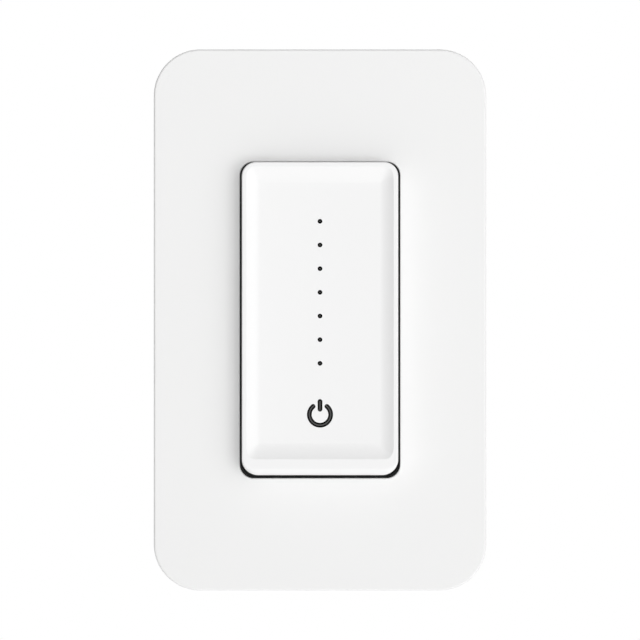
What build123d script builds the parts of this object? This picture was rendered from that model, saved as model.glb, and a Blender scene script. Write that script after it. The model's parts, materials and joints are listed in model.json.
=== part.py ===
from build123d import *
from math import degrees, sqrt
import os

# Smart dimmer switch with a screwless wall plate, in millimetres.
# X points right, Y points into the wall and Z points up. The origin is midway between the two
# box screws, on the wall plane, where the rear face of the mounting strap lies.
# Names that end in _x and _z are half sizes or places in X and Z. Names that end in _front
# and _back are places in Y, counted into the wall.

# Wall plate and the opening that the paddle stands in
OPENING_WIDTH = 33.9
OPENING_HEIGHT = 66.9
OPENING_CORNER = 2.9
OPENING_EDGE_CHAMFER = 0.2
PLATE_SIDE_BORDER = 18.15
PLATE_END_BORDER = 8.73
PLATE_CORNER = 9.8
PLATE_FRONT_WALL = 1.8
PLATE_SIDE_WALL = 1.6
PLATE_EDGE_ROUND = 0.45
PLATE_RIB_WIDTH = 1.2
PLATE_RIB_SHARE = 0.55

# Snap fit between the wall plate and the sub plate
SNAP_LENGTH = 8.0
SNAP_DEPTH = 0.8
SNAP_GAP = 0.2
SNAP_OVERLAP = 0.4
TOOTH_REACH = 0.65
SIDE_SNAP_PLACE = 30.0
END_SNAP_PLACE = 14.0

# Sub plate, screwed to the strap
SUB_PLATE_THICKNESS = 2.0
SUB_PLATE_CORNER = 7.0
SUB_PLATE_EDGE_GAP = 1.25
SUB_PLATE_SIDE_CLEARANCE = 0.7
SUB_PLATE_END_CLEARANCE = 2.0
SUB_PLATE_OPENING_CORNER = 2.0
SUB_PLATE_HOLE_RADIUS = 1.95
BOX_SCREW_NOTCH_RADIUS = 3.9
PLATE_SCREW_STEP = 6.75
PLATE_SCREW_LENGTH = 6.6
PLATE_SCREW_HEAD = (2.75, 1.4)
PLATE_SCREW_RADIUS = 1.72
HEAD_CLEARANCE = 0.2

# Mounting strap, a sheet of aluminium with break-off ears
STRAP_THICKNESS = 1.6
STRAP_CORNER = 2.0
STRAP_OVERHANG = 0.2
STRAP_END_OVERHANG = 0.5
STRAP_END_MARGIN = 4.28
STRAP_NECK_WIDTH = 24.0
STRAP_EAR_HEIGHT = 8.7
STRAP_EAR_SLIT = (1.0, 5.5)
STRAP_BOX_SLOT = (6.8, 4.2)
STRAP_PLATE_HOLE_RADIUS = 1.78
STRAP_CLEARANCE = 0.3

# Screws that hold the strap to the wall box, with a thin neck in the strap's slot
BOX_SCREW_CLEARANCE = 5.37
BOX_SCREW_RADIUS = 1.75
BOX_SCREW_HEAD = (3.3, 2.1)
BOX_SCREW_LENGTH = 25.4
BOX_SCREW_NECK = (1.4, 2.0)
RETAINER_RADIUS = 3.4
RETAINER_THICKNESS = 0.35
RETAINER_CLEARANCE = 0.05

# Ground screw on its tab
GROUND_TAB_SIZE = (9.0, 6.3)
GROUND_TAB_EDGE = 0.7
GROUND_TAB_CORNER = 1.5
GROUND_SCREW_RADIUS = 1.9
GROUND_SCREW_HEAD = (3.3, 2.2)
GROUND_HOLE_CLEARANCE = 0.05

# Screw heads: straight rim, flat top and driver slot, as shares of the head's own size
HEAD_RIM_SHARE = 0.45
HEAD_TOP_SHARE = 0.62
SLOT_WIDTH_SHARE = 0.28
SLOT_DEPTH_SHARE = 0.5
SCREW_TIP = 0.5

# Front frame: collar behind the plate's opening, flange on the strap and tub through the strap
COLLAR_SETBACK = 0.2
COLLAR_WALL = 1.3
COLLAR_CLEARANCE = 0.15
COLLAR_CORNER = 4.4
FLANGE_THICKNESS = 1.4
FLANGE_CORNER = 2.2
FRAME_BOSS_RADIUS = 2.2
FRAME_BOSS_CLEARANCE = 0.4
FRAME_BOSS_CAP = 0.6
TUB_STEP = 1.05
TUB_WALL = 1.2
TUB_FLOOR = 1.2
TUB_CORNER = 2.0
TUB_SCREW_SPACE = 2.8
SHELF_THICKNESS = 1.2
LOWER_SHELF_REACH = 9.0
UPPER_SHELF = (4.2, 3.3)
BOARD_POST_RADIUS = 1.6
BOARD_POST_INSET = 3.0
STAKE_RADIUS = 0.7
STAKE_HEAD = (1.2, 0.3)
BOARD_RIB_HEIGHT = 0.4
BOARD_RIB_WIDTH = 1.2

# Paddle: one shell with a dished face
PADDLE_SIDE_GAP = 0.55
PADDLE_TOP_GAP = 0.3
PADDLE_BOTTOM_GAP = 0.85
PADDLE_TOP_CORNER = 3.0
PADDLE_BOTTOM_CORNER = 3.4
PADDLE_PROUD = 4.3
PADDLE_WALL = 1.2
PADDLE_FACE_WALL = 1.85
PADDLE_EDGE_ROUND = 0.3
PADDLE_CHIN_ROUND = 1.6
DISH_DEPTH = 0.95
DISH_RIM = 0.95
DISH_LIP = 3.4
DISH_SLOPE = 2.8
DISH_CORNER = 1.7

# Paddle hinge, travel and latch
PIVOT_DROP = 3.65
PIVOT_LIFT = 0.2
PIVOT_RADIUS = 1.0
PIVOT_CLEARANCE = 0.05
PIVOT_EAR_RADIUS = 1.6
PIVOT_POCKET_CLEARANCE = 0.5
PIN_END_GAP = 0.25
PADDLE_TRAVEL = 0.68
SKIRT_CLEARANCE = 0.12
LATCH_INSET = 4.7
LATCH_WIDTH = 3.6
LATCH_THICKNESS = 1.0
LATCH_BARB = (0.9, 0.6)
LATCH_GAP = 0.1
LATCH_SLOT_CLEARANCE = 0.3
LATCH_RISE = 3.3
POST_RADIUS = 1.2
POST_GAP = 0.05

# Return spring between the lower shelf and the paddle
SPRING_WIRE = 0.22
SPRING_WIRE_SIDES = 6
SPRING_RADIUS = 2.2
SPRING_TURNS = 4
SPRING_RISE = 3.1
SPRING_PEG = (1.5, 1.4)

# Dots and power symbol on the paddle, each shown by a light guide
DOT_COUNT = 7
TOP_DOT_DROP = 12.43
DOT_RADIUS = 0.5
SYMBOL_RISE = 12.75
SYMBOL_SPACE = 10.75
SYMBOL_RADIUS = 2.24
SYMBOL_STROKE = 1.0
SYMBOL_GAP_ANGLE = 40.0
SYMBOL_BAR_LENGTH = 2.65
SYMBOL_BAR_RISE = 1.93
GUIDE_WEB = 0.6
GUIDE_WEB_WIDTH = 3.2
GUIDE_BASE_MARGIN = 0.85
GUIDE_CLEARANCE = 0.02
GUIDE_RECESS = 0.03

# Touch board with the lamps
TOUCH_BOARD_THICKNESS = 1.0
TOUCH_BOARD_EDGE_GAP = 1.2
TOUCH_BOARD_END = 1.5
BOARD_CORNER = 1.0
LED_SIZE = (1.6, 0.8, 0.6)
POWER_LED_SIZE = 1.6
LED_GAP = 0.7
TOUCH_POST_HOLE = 2.3
TOUCH_CHIP = (4.0, 4.0, 0.9)
TOUCH_CHIP_DROP = 13.9
TOUCH_LINK_SIZE = (2.5, 12.7)
TOUCH_LINK_EDGE = 0.35
TOUCH_LINK_DROP = 3.6

# Control board with the push switch and the radio module
CONTROL_BOARD_THICKNESS = 1.6
CONTROL_BOARD_GAP = 0.8
CONTROL_BOARD_EDGE_GAP = 0.5
SWITCH_RISE = 7.9
SWITCH_SIZE = 6.0
SWITCH_HEIGHT = 3.4
SWITCH_FLOOR = 0.8
SWITCH_CORNER = 0.6
PLUNGER_RADIUS = 1.7
PLUNGER_CLEARANCE = 0.05
PLUNGER_PROUD = 0.8
PLUNGER_FLOOR_GAP = 0.62
RADIO_BOARD = (14.0, 20.0, 0.8)
RADIO_SHIELD = (11.6, 13.6, 2.0)
RADIO_SHIELD_DROP = 2.4
CONTROL_CHIP = (6.0, 6.0, 1.0)
CONTROL_CHIP_EDGE = 1.2
CONTROL_CHIP_RISE = 1.6
POWER_LINK_SIZE = (2.5, 15.2)
POWER_LINK_EDGE = 1.75
POWER_LINK_GAP = 1.2
POWER_LINK_CLEARANCE = 0.4

# Heat spreader, a bent sheet that reaches the strap, and the two dimming transistors on it
SPREADER_THICKNESS = 1.5
SPREADER_GAP = 0.4
SPREADER_SIDE_GAP = 0.4
SPREADER_END = 5.5
PAD_SIZE = (12.0, 17.0, 0.3)
TRANSISTOR_PLACE = (8.0, -7.0)
TRANSISTOR_BODY = (10.0, 9.0, 4.4)
TRANSISTOR_TAB = (10.0, 6.4, 1.3)
TRANSISTOR_HOLE_RADIUS = 1.65
LEAD_SIZE = (0.8, 0.5)
LEAD_PITCH = 2.54
LEAD_REACH = 2.4
LEAD_DEPTH_SHARE = 0.5
TAB_SCREW_RADIUS = 1.5
TAB_SCREW_HEAD = (2.6, 1.8)
TAB_SCREW_LENGTH = 2.9
SCREW_HOLE_CLEARANCE = 0.05

# Power board and what stands on it: width, height and how far it stands out of the board
POWER_BOARD_THICKNESS = 1.6
POWER_BOARD_SPACE = 7.9
POWER_BOARD_EDGE_GAP = 1.4
POWER_BOARD_END_GAP = 0.4
COMPONENT_SPACE = 18.8
COMPONENT_ROWS = 3
COMPONENT_EDGE = 2.0
COMPONENT_ROUND = 0.5
FILM_CAPACITOR = (15.0, 7.5, 13.5)
BULK_CAPACITOR = (5.0, 16.0)
CAPACITOR_GROOVE = (0.4, 2.2, 0.9)
CHOKE_RADII = (3.2, 6.2)
CHOKE_HEIGHT = 5.0
WINDING_THICKNESS = 0.9
WINDING_ANGLE = 300
WINDING_GAP = 0.05
TRANSFORMER_CORE = (13.0, 9.0, 13.0)
TRANSFORMER_LEG = 3.0
TRANSFORMER_WINDOW = (2.8, 8.0)
BOBBIN_WALL = 2.4
BOBBIN_CLEARANCE = 0.1
RECTIFIER = (6.5, 8.0, 2.6)
VARISTOR = (4.2, 4.0)
FUSE = (3.8, 8.0)

# Terminals: brass cages on the power board, wires from below, screws from the rear
TERMINAL_COUNT = 4
TERMINAL_PITCH = 8.8
CAGE_WIDTH = 7.2
CAGE_HEIGHT = 7.8
CAGE_DEPTH = 9.0
CAGE_ROUND = 0.6
WIRE_BORE_RADIUS = 1.8
WIRE_BORE_DEPTH = 4.6
CAGE_END_MARGIN = 0.4
TERMINAL_SCREW_RADIUS = 1.7
TERMINAL_SCREW_HEAD = (2.9, 1.9)
TERMINAL_TIP_GAP = 0.2
TERMINAL_WINDOW_CLEARANCE = 0.4
TERMINAL_WALL_GAP = 0.8

# Rear housing with screw wells, wire ducts and board ribs
HOUSING_WALL = 1.6
HOUSING_CORNER = 2.5
HOUSING_EDGE_CHAMFER = 0.8
HOUSING_SIDE_MARGIN = 3.4
HOUSING_END_MARGIN = 3.0
HOUSING_SCREW_SIDE = 0.15
HOUSING_SCREW_INSET = 1.65
WELL_RADIUS = 2.05
WELL_WALL = 0.85
WELL_SEAT = 6.0
HOUSING_HOLE_RADIUS = 1.35
HOUSING_SCREW_RADIUS = 1.2
HOUSING_SCREW_HEAD = (1.9, 1.7)
HOUSING_SCREW_END_GAP = 0.3
STRAP_SCREW_HOLE_RADIUS = 1.45
DUCT_WALL = 0.9
DUCT_GAP = 0.3
STEP_GAP = 0.6
BOARD_SUPPORT = (1.2, 3.0)
BOARD_SUPPORT_ENDS = (4.7, 8.0)
DIVIDER_WIDTH = 1.2
DIVIDER_HEIGHT = 2.0
DIVIDER_END = 3.0
LABEL_MARGIN = 7.0
LABEL_RECESS = 0.3
LABEL_CORNER = 1.5
GRIP_COUNT = 12
GRIP_PITCH = 3.2
GRIP_SIZE = (1.0, 0.4)
GRIP_MARGIN = (5.0, 4.0)

# Places across and up, from the opening outwards
collar_in_x = OPENING_WIDTH / 2 + COLLAR_SETBACK
collar_in_z = OPENING_HEIGHT / 2 + COLLAR_SETBACK
collar_out_x = collar_in_x + COLLAR_WALL
collar_out_z = collar_in_z + COLLAR_WALL
housing_screw_x = collar_out_x + HOUSING_SCREW_SIDE
housing_screw_z = collar_out_z - HOUSING_SCREW_INSET
flange_x = housing_screw_x + FRAME_BOSS_RADIUS
flange_z = housing_screw_z + FRAME_BOSS_RADIUS
tub_in_x = collar_in_x - TUB_STEP
tub_out_x = tub_in_x + TUB_WALL
tub_out_z = housing_screw_z - TUB_SCREW_SPACE
tub_in_z = tub_out_z - TUB_WALL
housing_x = housing_screw_x + HOUSING_SIDE_MARGIN
housing_z = housing_screw_z + HOUSING_END_MARGIN
box_screw_z = housing_z + BOX_SCREW_CLEARANCE
plate_screw_z = box_screw_z + PLATE_SCREW_STEP
strap_x = housing_x + STRAP_OVERHANG
strap_z = housing_z + STRAP_END_OVERHANG
strap_end_z = plate_screw_z + STRAP_END_MARGIN
plate_x = OPENING_WIDTH / 2 + PLATE_SIDE_BORDER
plate_z = plate_screw_z + PLATE_END_BORDER
plate_in_x = plate_x - PLATE_SIDE_WALL
plate_in_z = plate_z - PLATE_SIDE_WALL
sub_x = plate_in_x - SUB_PLATE_EDGE_GAP
sub_z = plate_in_z - SUB_PLATE_EDGE_GAP
sub_open_x = flange_x + SUB_PLATE_SIDE_CLEARANCE
sub_open_z = flange_z + SUB_PLATE_END_CLEARANCE
paddle_x = OPENING_WIDTH / 2 - PADDLE_SIDE_GAP
paddle_top = OPENING_HEIGHT / 2 - PADDLE_TOP_GAP
paddle_bottom = PADDLE_BOTTOM_GAP - OPENING_HEIGHT / 2
paddle_in_x = paddle_x - PADDLE_WALL

# Places in depth, from the wall plane to the front
strap_front = -STRAP_THICKNESS
flange_front = strap_front - FLANGE_THICKNESS
sub_front = strap_front - SUB_PLATE_THICKNESS
plate_inside = sub_front - PLATE_SCREW_HEAD[1] - HEAD_CLEARANCE
plate_front = plate_inside - PLATE_FRONT_WALL
collar_front = plate_inside + COLLAR_CLEARANCE
paddle_front = plate_front - PADDLE_PROUD
dish_floor = paddle_front + DISH_DEPTH
paddle_inside = dish_floor + PADDLE_FACE_WALL
guide_back = paddle_inside + GUIDE_WEB
led_front = guide_back + LED_GAP
touch_front = led_front + LED_SIZE[2]
touch_back = touch_front + TOUCH_BOARD_THICKNESS
shelf_back = flange_front + SHELF_THICKNESS
skirt_back = flange_front - PADDLE_TRAVEL - SKIRT_CLEARANCE

# Places in depth, from the strap to the rear
control_front = shelf_back + CONTROL_BOARD_GAP
control_back = control_front + CONTROL_BOARD_THICKNESS
tub_floor_front = control_back + BOARD_RIB_HEIGHT
tub_back = tub_floor_front + TUB_FLOOR
spreader_front = tub_back + SPREADER_GAP
spreader_back = spreader_front + SPREADER_THICKNESS
power_front = spreader_back + POWER_BOARD_SPACE
power_back = power_front + POWER_BOARD_THICKNESS
cage_back = power_back + CAGE_DEPTH
step_inside = cage_back + TERMINAL_WALL_GAP
step_back = step_inside + HOUSING_WALL
housing_inside = power_back + COMPONENT_SPACE
housing_back = housing_inside + HOUSING_WALL

# Hinge, latch, switch and spring
pivot_z = paddle_top - PIVOT_DROP
pivot_y = flange_front - PIVOT_LIFT
shelf_top = LOWER_SHELF_REACH - tub_out_z
upper_shelf_top = tub_in_z - UPPER_SHELF[1]
upper_shelf_bottom = upper_shelf_top - UPPER_SHELF[0]
lower_post_z = shelf_top - BOARD_POST_RADIUS
upper_post_z = (upper_shelf_top + upper_shelf_bottom) / 2
latch_x = paddle_in_x - LATCH_INSET
latch_z = LATCH_RISE - tub_out_z
spring_z = SPRING_RISE - tub_out_z
switch_z = shelf_top + SWITCH_RISE
plunger_front = control_front - SWITCH_HEIGHT - PLUNGER_PROUD
plunger_back = control_front - SWITCH_FLOOR - PLUNGER_FLOOR_GAP

# Dots and power symbol
top_dot_z = paddle_top - TOP_DOT_DROP
symbol_z = paddle_bottom + SYMBOL_RISE
dot_pitch = (top_dot_z - symbol_z - SYMBOL_SPACE) / (DOT_COUNT - 1)

# Boards, cages and the step in the housing
touch_x = paddle_in_x - TOUCH_BOARD_EDGE_GAP
board_post_x = touch_x - BOARD_POST_INSET
touch_bottom = lower_post_z - TOUCH_BOARD_END
touch_top = upper_post_z + TOUCH_BOARD_END
control_x = tub_in_x - CONTROL_BOARD_EDGE_GAP
control_bottom = shelf_top - BOARD_POST_RADIUS
control_top = tub_in_z - CONTROL_BOARD_EDGE_GAP
radio_z = (switch_z + SWITCH_SIZE / 2 + upper_shelf_bottom) / 2
pad_z = TRANSISTOR_PLACE[1] + TRANSISTOR_TAB[1] / 2
power_link_x = POWER_LINK_EDGE + POWER_LINK_SIZE[0] / 2 - control_x
power_link_z = pad_z + (PAD_SIZE[1] + POWER_LINK_SIZE[1]) / 2 + POWER_LINK_GAP
power_board_x = housing_x - HOUSING_WALL - POWER_BOARD_EDGE_GAP
power_board_z = housing_screw_z - WELL_RADIUS - WELL_WALL - POWER_BOARD_END_GAP
cage_z = CAGE_END_MARGIN + CAGE_HEIGHT / 2 - power_board_z
wire_y = power_back + WIRE_BORE_DEPTH
terminal_places = [(index - (TERMINAL_COUNT - 1) / 2) * TERMINAL_PITCH for index in range(TERMINAL_COUNT)]
step_z = cage_z + CAGE_HEIGHT / 2 + STEP_GAP
board_support_low = step_z + BOARD_SUPPORT_ENDS[0]
board_support_high = power_board_z - BOARD_SUPPORT_ENDS[1]

# Three rows of components on the power board, with equal gaps below each
upper_row = 2 * BULK_CAPACITOR[0]
middle_row = 2 * (CHOKE_RADII[1] + WINDING_GAP + WINDING_THICKNESS)
lower_row = 2 * VARISTOR[0]
rows_top = power_board_z - COMPONENT_EDGE
row_gap = (rows_top - step_z - HOUSING_WALL - upper_row - middle_row - lower_row) / COMPONENT_ROWS
middle_row_z = rows_top - upper_row - row_gap - middle_row / 2
lower_row_z = middle_row_z - middle_row / 2 - row_gap - lower_row / 2

SIDES = (-1, 1)
CORNERS = [(side, end) for side in SIDES for end in SIDES]


def slab(outline, front, back):
    """Solid between two depths, with an outline drawn in X and Z."""
    return extrude(Plane.XZ.offset(-back) * outline, amount=back - front)


def block(x, z, width, height, front, back):
    """Box between two depths, centred at x and z."""
    return slab(Pos(x, z) * Rectangle(width, height), front, back)


def rod(x, z, radius, front, back):
    """Cylinder along Y between two depths."""
    return slab(Pos(x, z) * Circle(radius), front, back)


def rounded(half_x, half_z, corner):
    """Rounded rectangle about the origin, from its half sizes."""
    return RectangleRounded(2 * half_x, 2 * half_z, corner)


def span(low, high, half_x, corner):
    """Rounded rectangle between two heights."""
    return Pos(0, (low + high) / 2) * RectangleRounded(2 * half_x, high - low, corner)


def screw(radius, length, head, neck=(0, 0)):
    """Slotted pan-head screw along Y: its head points to the front and its seat is at 0."""
    head_radius, head_height = head
    neck_radius, neck_length = neck
    rim = head_height * HEAD_RIM_SHARE
    points = [(0, -head_height), (0, length), (radius - SCREW_TIP, length), (radius, length - SCREW_TIP)]
    if neck_length:
        points += [(radius, neck_length), (neck_radius, neck_length), (neck_radius, 0)]
    else:
        points += [(radius, 0)]
    points += [(head_radius, 0), (head_radius, -rim), (head_radius * HEAD_TOP_SHARE, -head_height)]
    outline = Polyline(*points, close=True)
    slot_depth = head_height * SLOT_DEPTH_SHARE
    slot_width = head_radius * SLOT_WIDTH_SHARE
    slot = Pos(0, slot_depth / 2 - head_height, 0) * Box(2 * head_radius, slot_depth, slot_width)
    return revolve(make_face(outline), Axis.Y) - slot


def facing_rear(shape):
    """The same screw with its head to the rear."""
    return Rot(180, 0, 0) * shape


def group(shapes):
    """Separate solids that share one node."""
    return Compound(children=[solid for shape in shapes for solid in shape.solids()])


def snap_places():
    """Centre and direction of each snap, as x, z and the outward unit step."""
    sides = [(side, end * SIDE_SNAP_PLACE, True) for side, end in CORNERS]
    ends = [(side * END_SNAP_PLACE, end, False) for side, end in CORNERS]
    return sides + ends


def snap_bars(inner, outer, front):
    """Bars on the edges of a plate, from an inner to an outer half size (each an x and z pair)."""
    bars = []
    for x, z, on_side in snap_places():
        if on_side:
            middle = x * (inner[0] + outer[0]) / 2
            bars.append(block(middle, z, outer[0] - inner[0], SNAP_LENGTH, front, front + SNAP_DEPTH))
        else:
            middle = z * (inner[1] + outer[1]) / 2
            bars.append(block(x, middle, SNAP_LENGTH, outer[1] - inner[1], front, front + SNAP_DEPTH))
    return bars


def make_wall_plate():
    shell = slab(rounded(plate_x, plate_z, PLATE_CORNER), plate_front, 0)
    shell = fillet(shell.faces().sort_by(Axis.Y)[0].edges(), PLATE_EDGE_ROUND)
    shell -= slab(rounded(plate_in_x, plate_in_z, PLATE_CORNER - PLATE_SIDE_WALL), plate_inside, 0)
    shell -= slab(rounded(OPENING_WIDTH / 2, OPENING_HEIGHT / 2, OPENING_CORNER), plate_front, plate_inside)
    rim = shell.faces().sort_by(Axis.Y)[0].inner_wires()[0].edges()
    shell = chamfer(rim, OPENING_EDGE_CHAMFER)
    rib_x = (sub_open_x + sub_x) / 2
    rib_z = (plate_screw_z + PLATE_SCREW_HEAD[0] + sub_z) / 2
    rib_length = 2 * sub_x * PLATE_RIB_SHARE
    for side in SIDES:
        shell += block(side * rib_x, 0, PLATE_RIB_WIDTH, 2 * sub_open_z, plate_inside, sub_front)
        shell += block(0, side * rib_z, rib_length, PLATE_RIB_WIDTH, plate_inside, sub_front)
    inner = (sub_x + TOOTH_REACH - SNAP_OVERLAP, sub_z + TOOTH_REACH - SNAP_OVERLAP)
    return shell + snap_bars(inner, (plate_in_x, plate_in_z), sub_front + SNAP_DEPTH + SNAP_GAP)


def make_sub_plate():
    outline = rounded(sub_x, sub_z, SUB_PLATE_CORNER)
    outline -= rounded(sub_open_x, sub_open_z, SUB_PLATE_OPENING_CORNER)
    for end in SIDES:
        notch_middle = end * (sub_open_z + box_screw_z) / 2
        outline -= Pos(0, notch_middle) * Rectangle(2 * BOX_SCREW_NOTCH_RADIUS, box_screw_z - sub_open_z)
        outline -= Pos(0, end * box_screw_z) * Circle(BOX_SCREW_NOTCH_RADIUS)
        outline -= Pos(0, end * plate_screw_z) * Circle(SUB_PLATE_HOLE_RADIUS)
    plate = slab(outline, sub_front, strap_front)
    return plate + snap_bars((sub_x, sub_z), (sub_x + TOOTH_REACH, sub_z + TOOTH_REACH), sub_front)


def make_sub_plate_screws():
    one = screw(PLATE_SCREW_RADIUS, PLATE_SCREW_LENGTH, PLATE_SCREW_HEAD)
    return group([Pos(0, sub_front, end * plate_screw_z) * one for end in SIDES])


def ground_place():
    """Centre of the ground screw on its tab, below the strap's lower left corner."""
    tab_width, tab_height = GROUND_TAB_SIZE
    return GROUND_TAB_EDGE + tab_width / 2 - strap_x, -strap_z - tab_height / 2


def make_mounting_strap():
    outline = rounded(strap_x, strap_z, STRAP_CORNER)
    ear_z = strap_end_z - STRAP_EAR_HEIGHT / 2
    slit_width, slit_height = STRAP_EAR_SLIT
    slit_z = strap_end_z - STRAP_EAR_HEIGHT + slit_height / 2
    for end in SIDES:
        outline += Pos(0, end * (strap_z + ear_z) / 2) * Rectangle(STRAP_NECK_WIDTH, ear_z - strap_z)
        outline += Pos(0, end * ear_z) * RectangleRounded(2 * strap_x, STRAP_EAR_HEIGHT, STRAP_CORNER)
    tab_width, tab_height = GROUND_TAB_SIZE
    tab_x, tab_z = ground_place()
    outline += Pos(tab_x, tab_z) * RectangleRounded(tab_width, tab_height, GROUND_TAB_CORNER)
    outline += Pos(tab_x, -strap_z) * Rectangle(tab_width, 2 * GROUND_TAB_CORNER)
    for end in SIDES:
        outline -= Pos(0, end * box_screw_z) * SlotOverall(*STRAP_BOX_SLOT)
        outline -= Pos(0, end * plate_screw_z) * Circle(STRAP_PLATE_HOLE_RADIUS)
        for side in SIDES:
            slit_x = side * (STRAP_NECK_WIDTH + slit_width) / 2
            outline -= Pos(slit_x, end * slit_z) * Rectangle(slit_width, slit_height)
            outline -= Pos(side * housing_screw_x, end * housing_screw_z) * Circle(STRAP_SCREW_HOLE_RADIUS)
    outline -= Pos(tab_x, tab_z) * Circle(GROUND_SCREW_RADIUS + GROUND_HOLE_CLEARANCE)
    window = (tub_out_x + STRAP_CLEARANCE, tub_out_z + STRAP_CLEARANCE, TUB_CORNER + STRAP_CLEARANCE)
    outline -= rounded(*window)
    return slab(outline, strap_front, 0)


def make_mounting_screws():
    one = screw(BOX_SCREW_RADIUS, BOX_SCREW_LENGTH, BOX_SCREW_HEAD, BOX_SCREW_NECK)
    return group([Pos(0, strap_front, end * box_screw_z) * one for end in SIDES])


def make_screw_retainers():
    washer = Circle(RETAINER_RADIUS) - Circle(BOX_SCREW_NECK[0] + RETAINER_CLEARANCE)
    return group([slab(Pos(0, end * box_screw_z) * washer, 0, RETAINER_THICKNESS) for end in SIDES])


def make_ground_screw():
    x, z = ground_place()
    return Pos(x, 0, z) * facing_rear(screw(GROUND_SCREW_RADIUS, STRAP_THICKNESS, GROUND_SCREW_HEAD))


def pivot_pocket(side):
    """Room in the frame for one hinge ear of the paddle."""
    reach = PIVOT_EAR_RADIUS + PIVOT_POCKET_CLEARANCE
    inner = paddle_in_x - PIVOT_POCKET_CLEARANCE
    middle = side * (inner + collar_in_x) / 2
    return block(middle, pivot_z, collar_in_x - inner, 2 * reach, collar_front, pivot_y + reach)


def latch_slot(side):
    """Slot in the lower shelf for one latch of the paddle."""
    width = LATCH_WIDTH + 2 * LATCH_SLOT_CLEARANCE
    height = LATCH_THICKNESS + 2 * LATCH_SLOT_CLEARANCE
    return block(side * latch_x, latch_z, width, height, flange_front, shelf_back)


def board_posts():
    """Posts that carry the touch board, with stakes through its holes."""
    posts = []
    head_radius, head_height = STAKE_HEAD
    for side in SIDES:
        for z in (lower_post_z, upper_post_z):
            x = side * board_post_x
            posts.append(rod(x, z, BOARD_POST_RADIUS, touch_back, flange_front))
            posts.append(rod(x, z, STAKE_RADIUS, touch_front, touch_back))
            posts.append(rod(x, z, head_radius, touch_front - head_height, touch_front))
    return posts


def make_front_frame():
    collar_hole = rounded(collar_in_x, collar_in_z, COLLAR_CORNER)
    tub_hole = rounded(tub_in_x, tub_in_z, TUB_CORNER - TUB_WALL)
    boss_front = plate_inside + FRAME_BOSS_CLEARANCE
    frame = slab(rounded(flange_x, flange_z, FLANGE_CORNER), flange_front, strap_front)
    collar = rounded(collar_out_x, collar_out_z, COLLAR_CORNER + COLLAR_WALL)
    frame += slab(collar, collar_front, flange_front)
    frame += [rod(x * housing_screw_x, z * housing_screw_z, FRAME_BOSS_RADIUS, boss_front, flange_front)
              for x, z in CORNERS]
    frame -= slab(collar_hole, collar_front, flange_front)
    frame += slab(rounded(tub_out_x, tub_out_z, TUB_CORNER), strap_front, tub_back)
    frame -= slab(tub_hole, flange_front, tub_floor_front)
    for low, high in ((-tub_out_z, shelf_top), (upper_shelf_bottom, upper_shelf_top)):
        frame += block(0, (low + high) / 2, 2 * tub_in_x, high - low, flange_front, shelf_back)
    frame += board_posts()
    peg_radius, peg_height = SPRING_PEG
    frame += rod(0, spring_z, peg_radius, flange_front - peg_height, flange_front)
    rib_x = control_x - BOARD_RIB_WIDTH / 2
    rib_z = (control_top + control_bottom) / 2
    for side in SIDES:
        rib_height = control_top - control_bottom
        frame += block(side * rib_x, rib_z, BOARD_RIB_WIDTH, rib_height, control_back, tub_floor_front)
        frame -= [pivot_pocket(side), latch_slot(side)]
        frame -= Pos(side * collar_out_x, pivot_y, pivot_z) * Rot(0, 90, 0) * Cylinder(
            PIVOT_RADIUS + PIVOT_CLEARANCE, 2 * (COLLAR_WALL + PIN_END_GAP))
    thread = [rod(x * housing_screw_x, z * housing_screw_z, HOUSING_SCREW_RADIUS + SCREW_HOLE_CLEARANCE,
                  boss_front + FRAME_BOSS_CAP, strap_front) for x, z in CORNERS]
    return frame - thread - power_link_slot(tub_floor_front, tub_back)


def power_link_slot(front, back):
    """Hole for the pins that join the control board and the power board."""
    width, height = [size + 2 * POWER_LINK_CLEARANCE for size in POWER_LINK_SIZE]
    return block(power_link_x, power_link_z, width, height, front, back)


def paddle_outline(inset, bottom_inset):
    """Paddle's outline from the front, drawn in by an inset at its top and sides."""
    low = paddle_bottom + bottom_inset
    high = paddle_top - inset
    outline = Pos(0, (low + high) / 2) * Rectangle(2 * (paddle_x - inset), high - low)
    corners = outline.vertices().group_by(Axis.Y)
    outline = fillet(corners[-1], PADDLE_TOP_CORNER - inset)
    corners = outline.vertices().group_by(Axis.Y)
    return fillet(corners[0], PADDLE_BOTTOM_CORNER - bottom_inset)


def bowl(low, high):
    """Section of the dish between two places: a flat floor that curves up to the rim on each side.

    The first number of a point is the place and the second is the depth below the rim."""
    radius = (DISH_SLOPE ** 2 + DISH_DEPTH ** 2) / (2 * DISH_DEPTH)
    half = DISH_SLOPE / 2
    drop = DISH_DEPTH - radius + sqrt(radius ** 2 - half ** 2)
    floor = Line((low + DISH_SLOPE, DISH_DEPTH), (high - DISH_SLOPE, DISH_DEPTH))
    left = ThreePointArc((low, 0), (low + half, drop), (low + DISH_SLOPE, DISH_DEPTH))
    right = ThreePointArc((high, 0), (high - half, drop), (high - DISH_SLOPE, DISH_DEPTH))
    return make_face([floor, left, right, Line((low, 0), (high, 0))])


def dish():
    """What is scooped out of the paddle's face."""
    half = paddle_x - DISH_RIM
    low = paddle_bottom + DISH_LIP
    high = paddle_top - DISH_RIM
    across = Plane((0, paddle_front, low), x_dir=(1, 0, 0), z_dir=(0, 0, 1))
    along = Plane((-half, paddle_front, 0), x_dir=(0, 0, 1), z_dir=(-1, 0, 0))
    scoop = extrude(across * bowl(-half, half), amount=high - low)
    scoop &= extrude(along * bowl(low, high), amount=-2 * half)
    return scoop & slab(span(low, high, half, DISH_CORNER), paddle_front, dish_floor)


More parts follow.
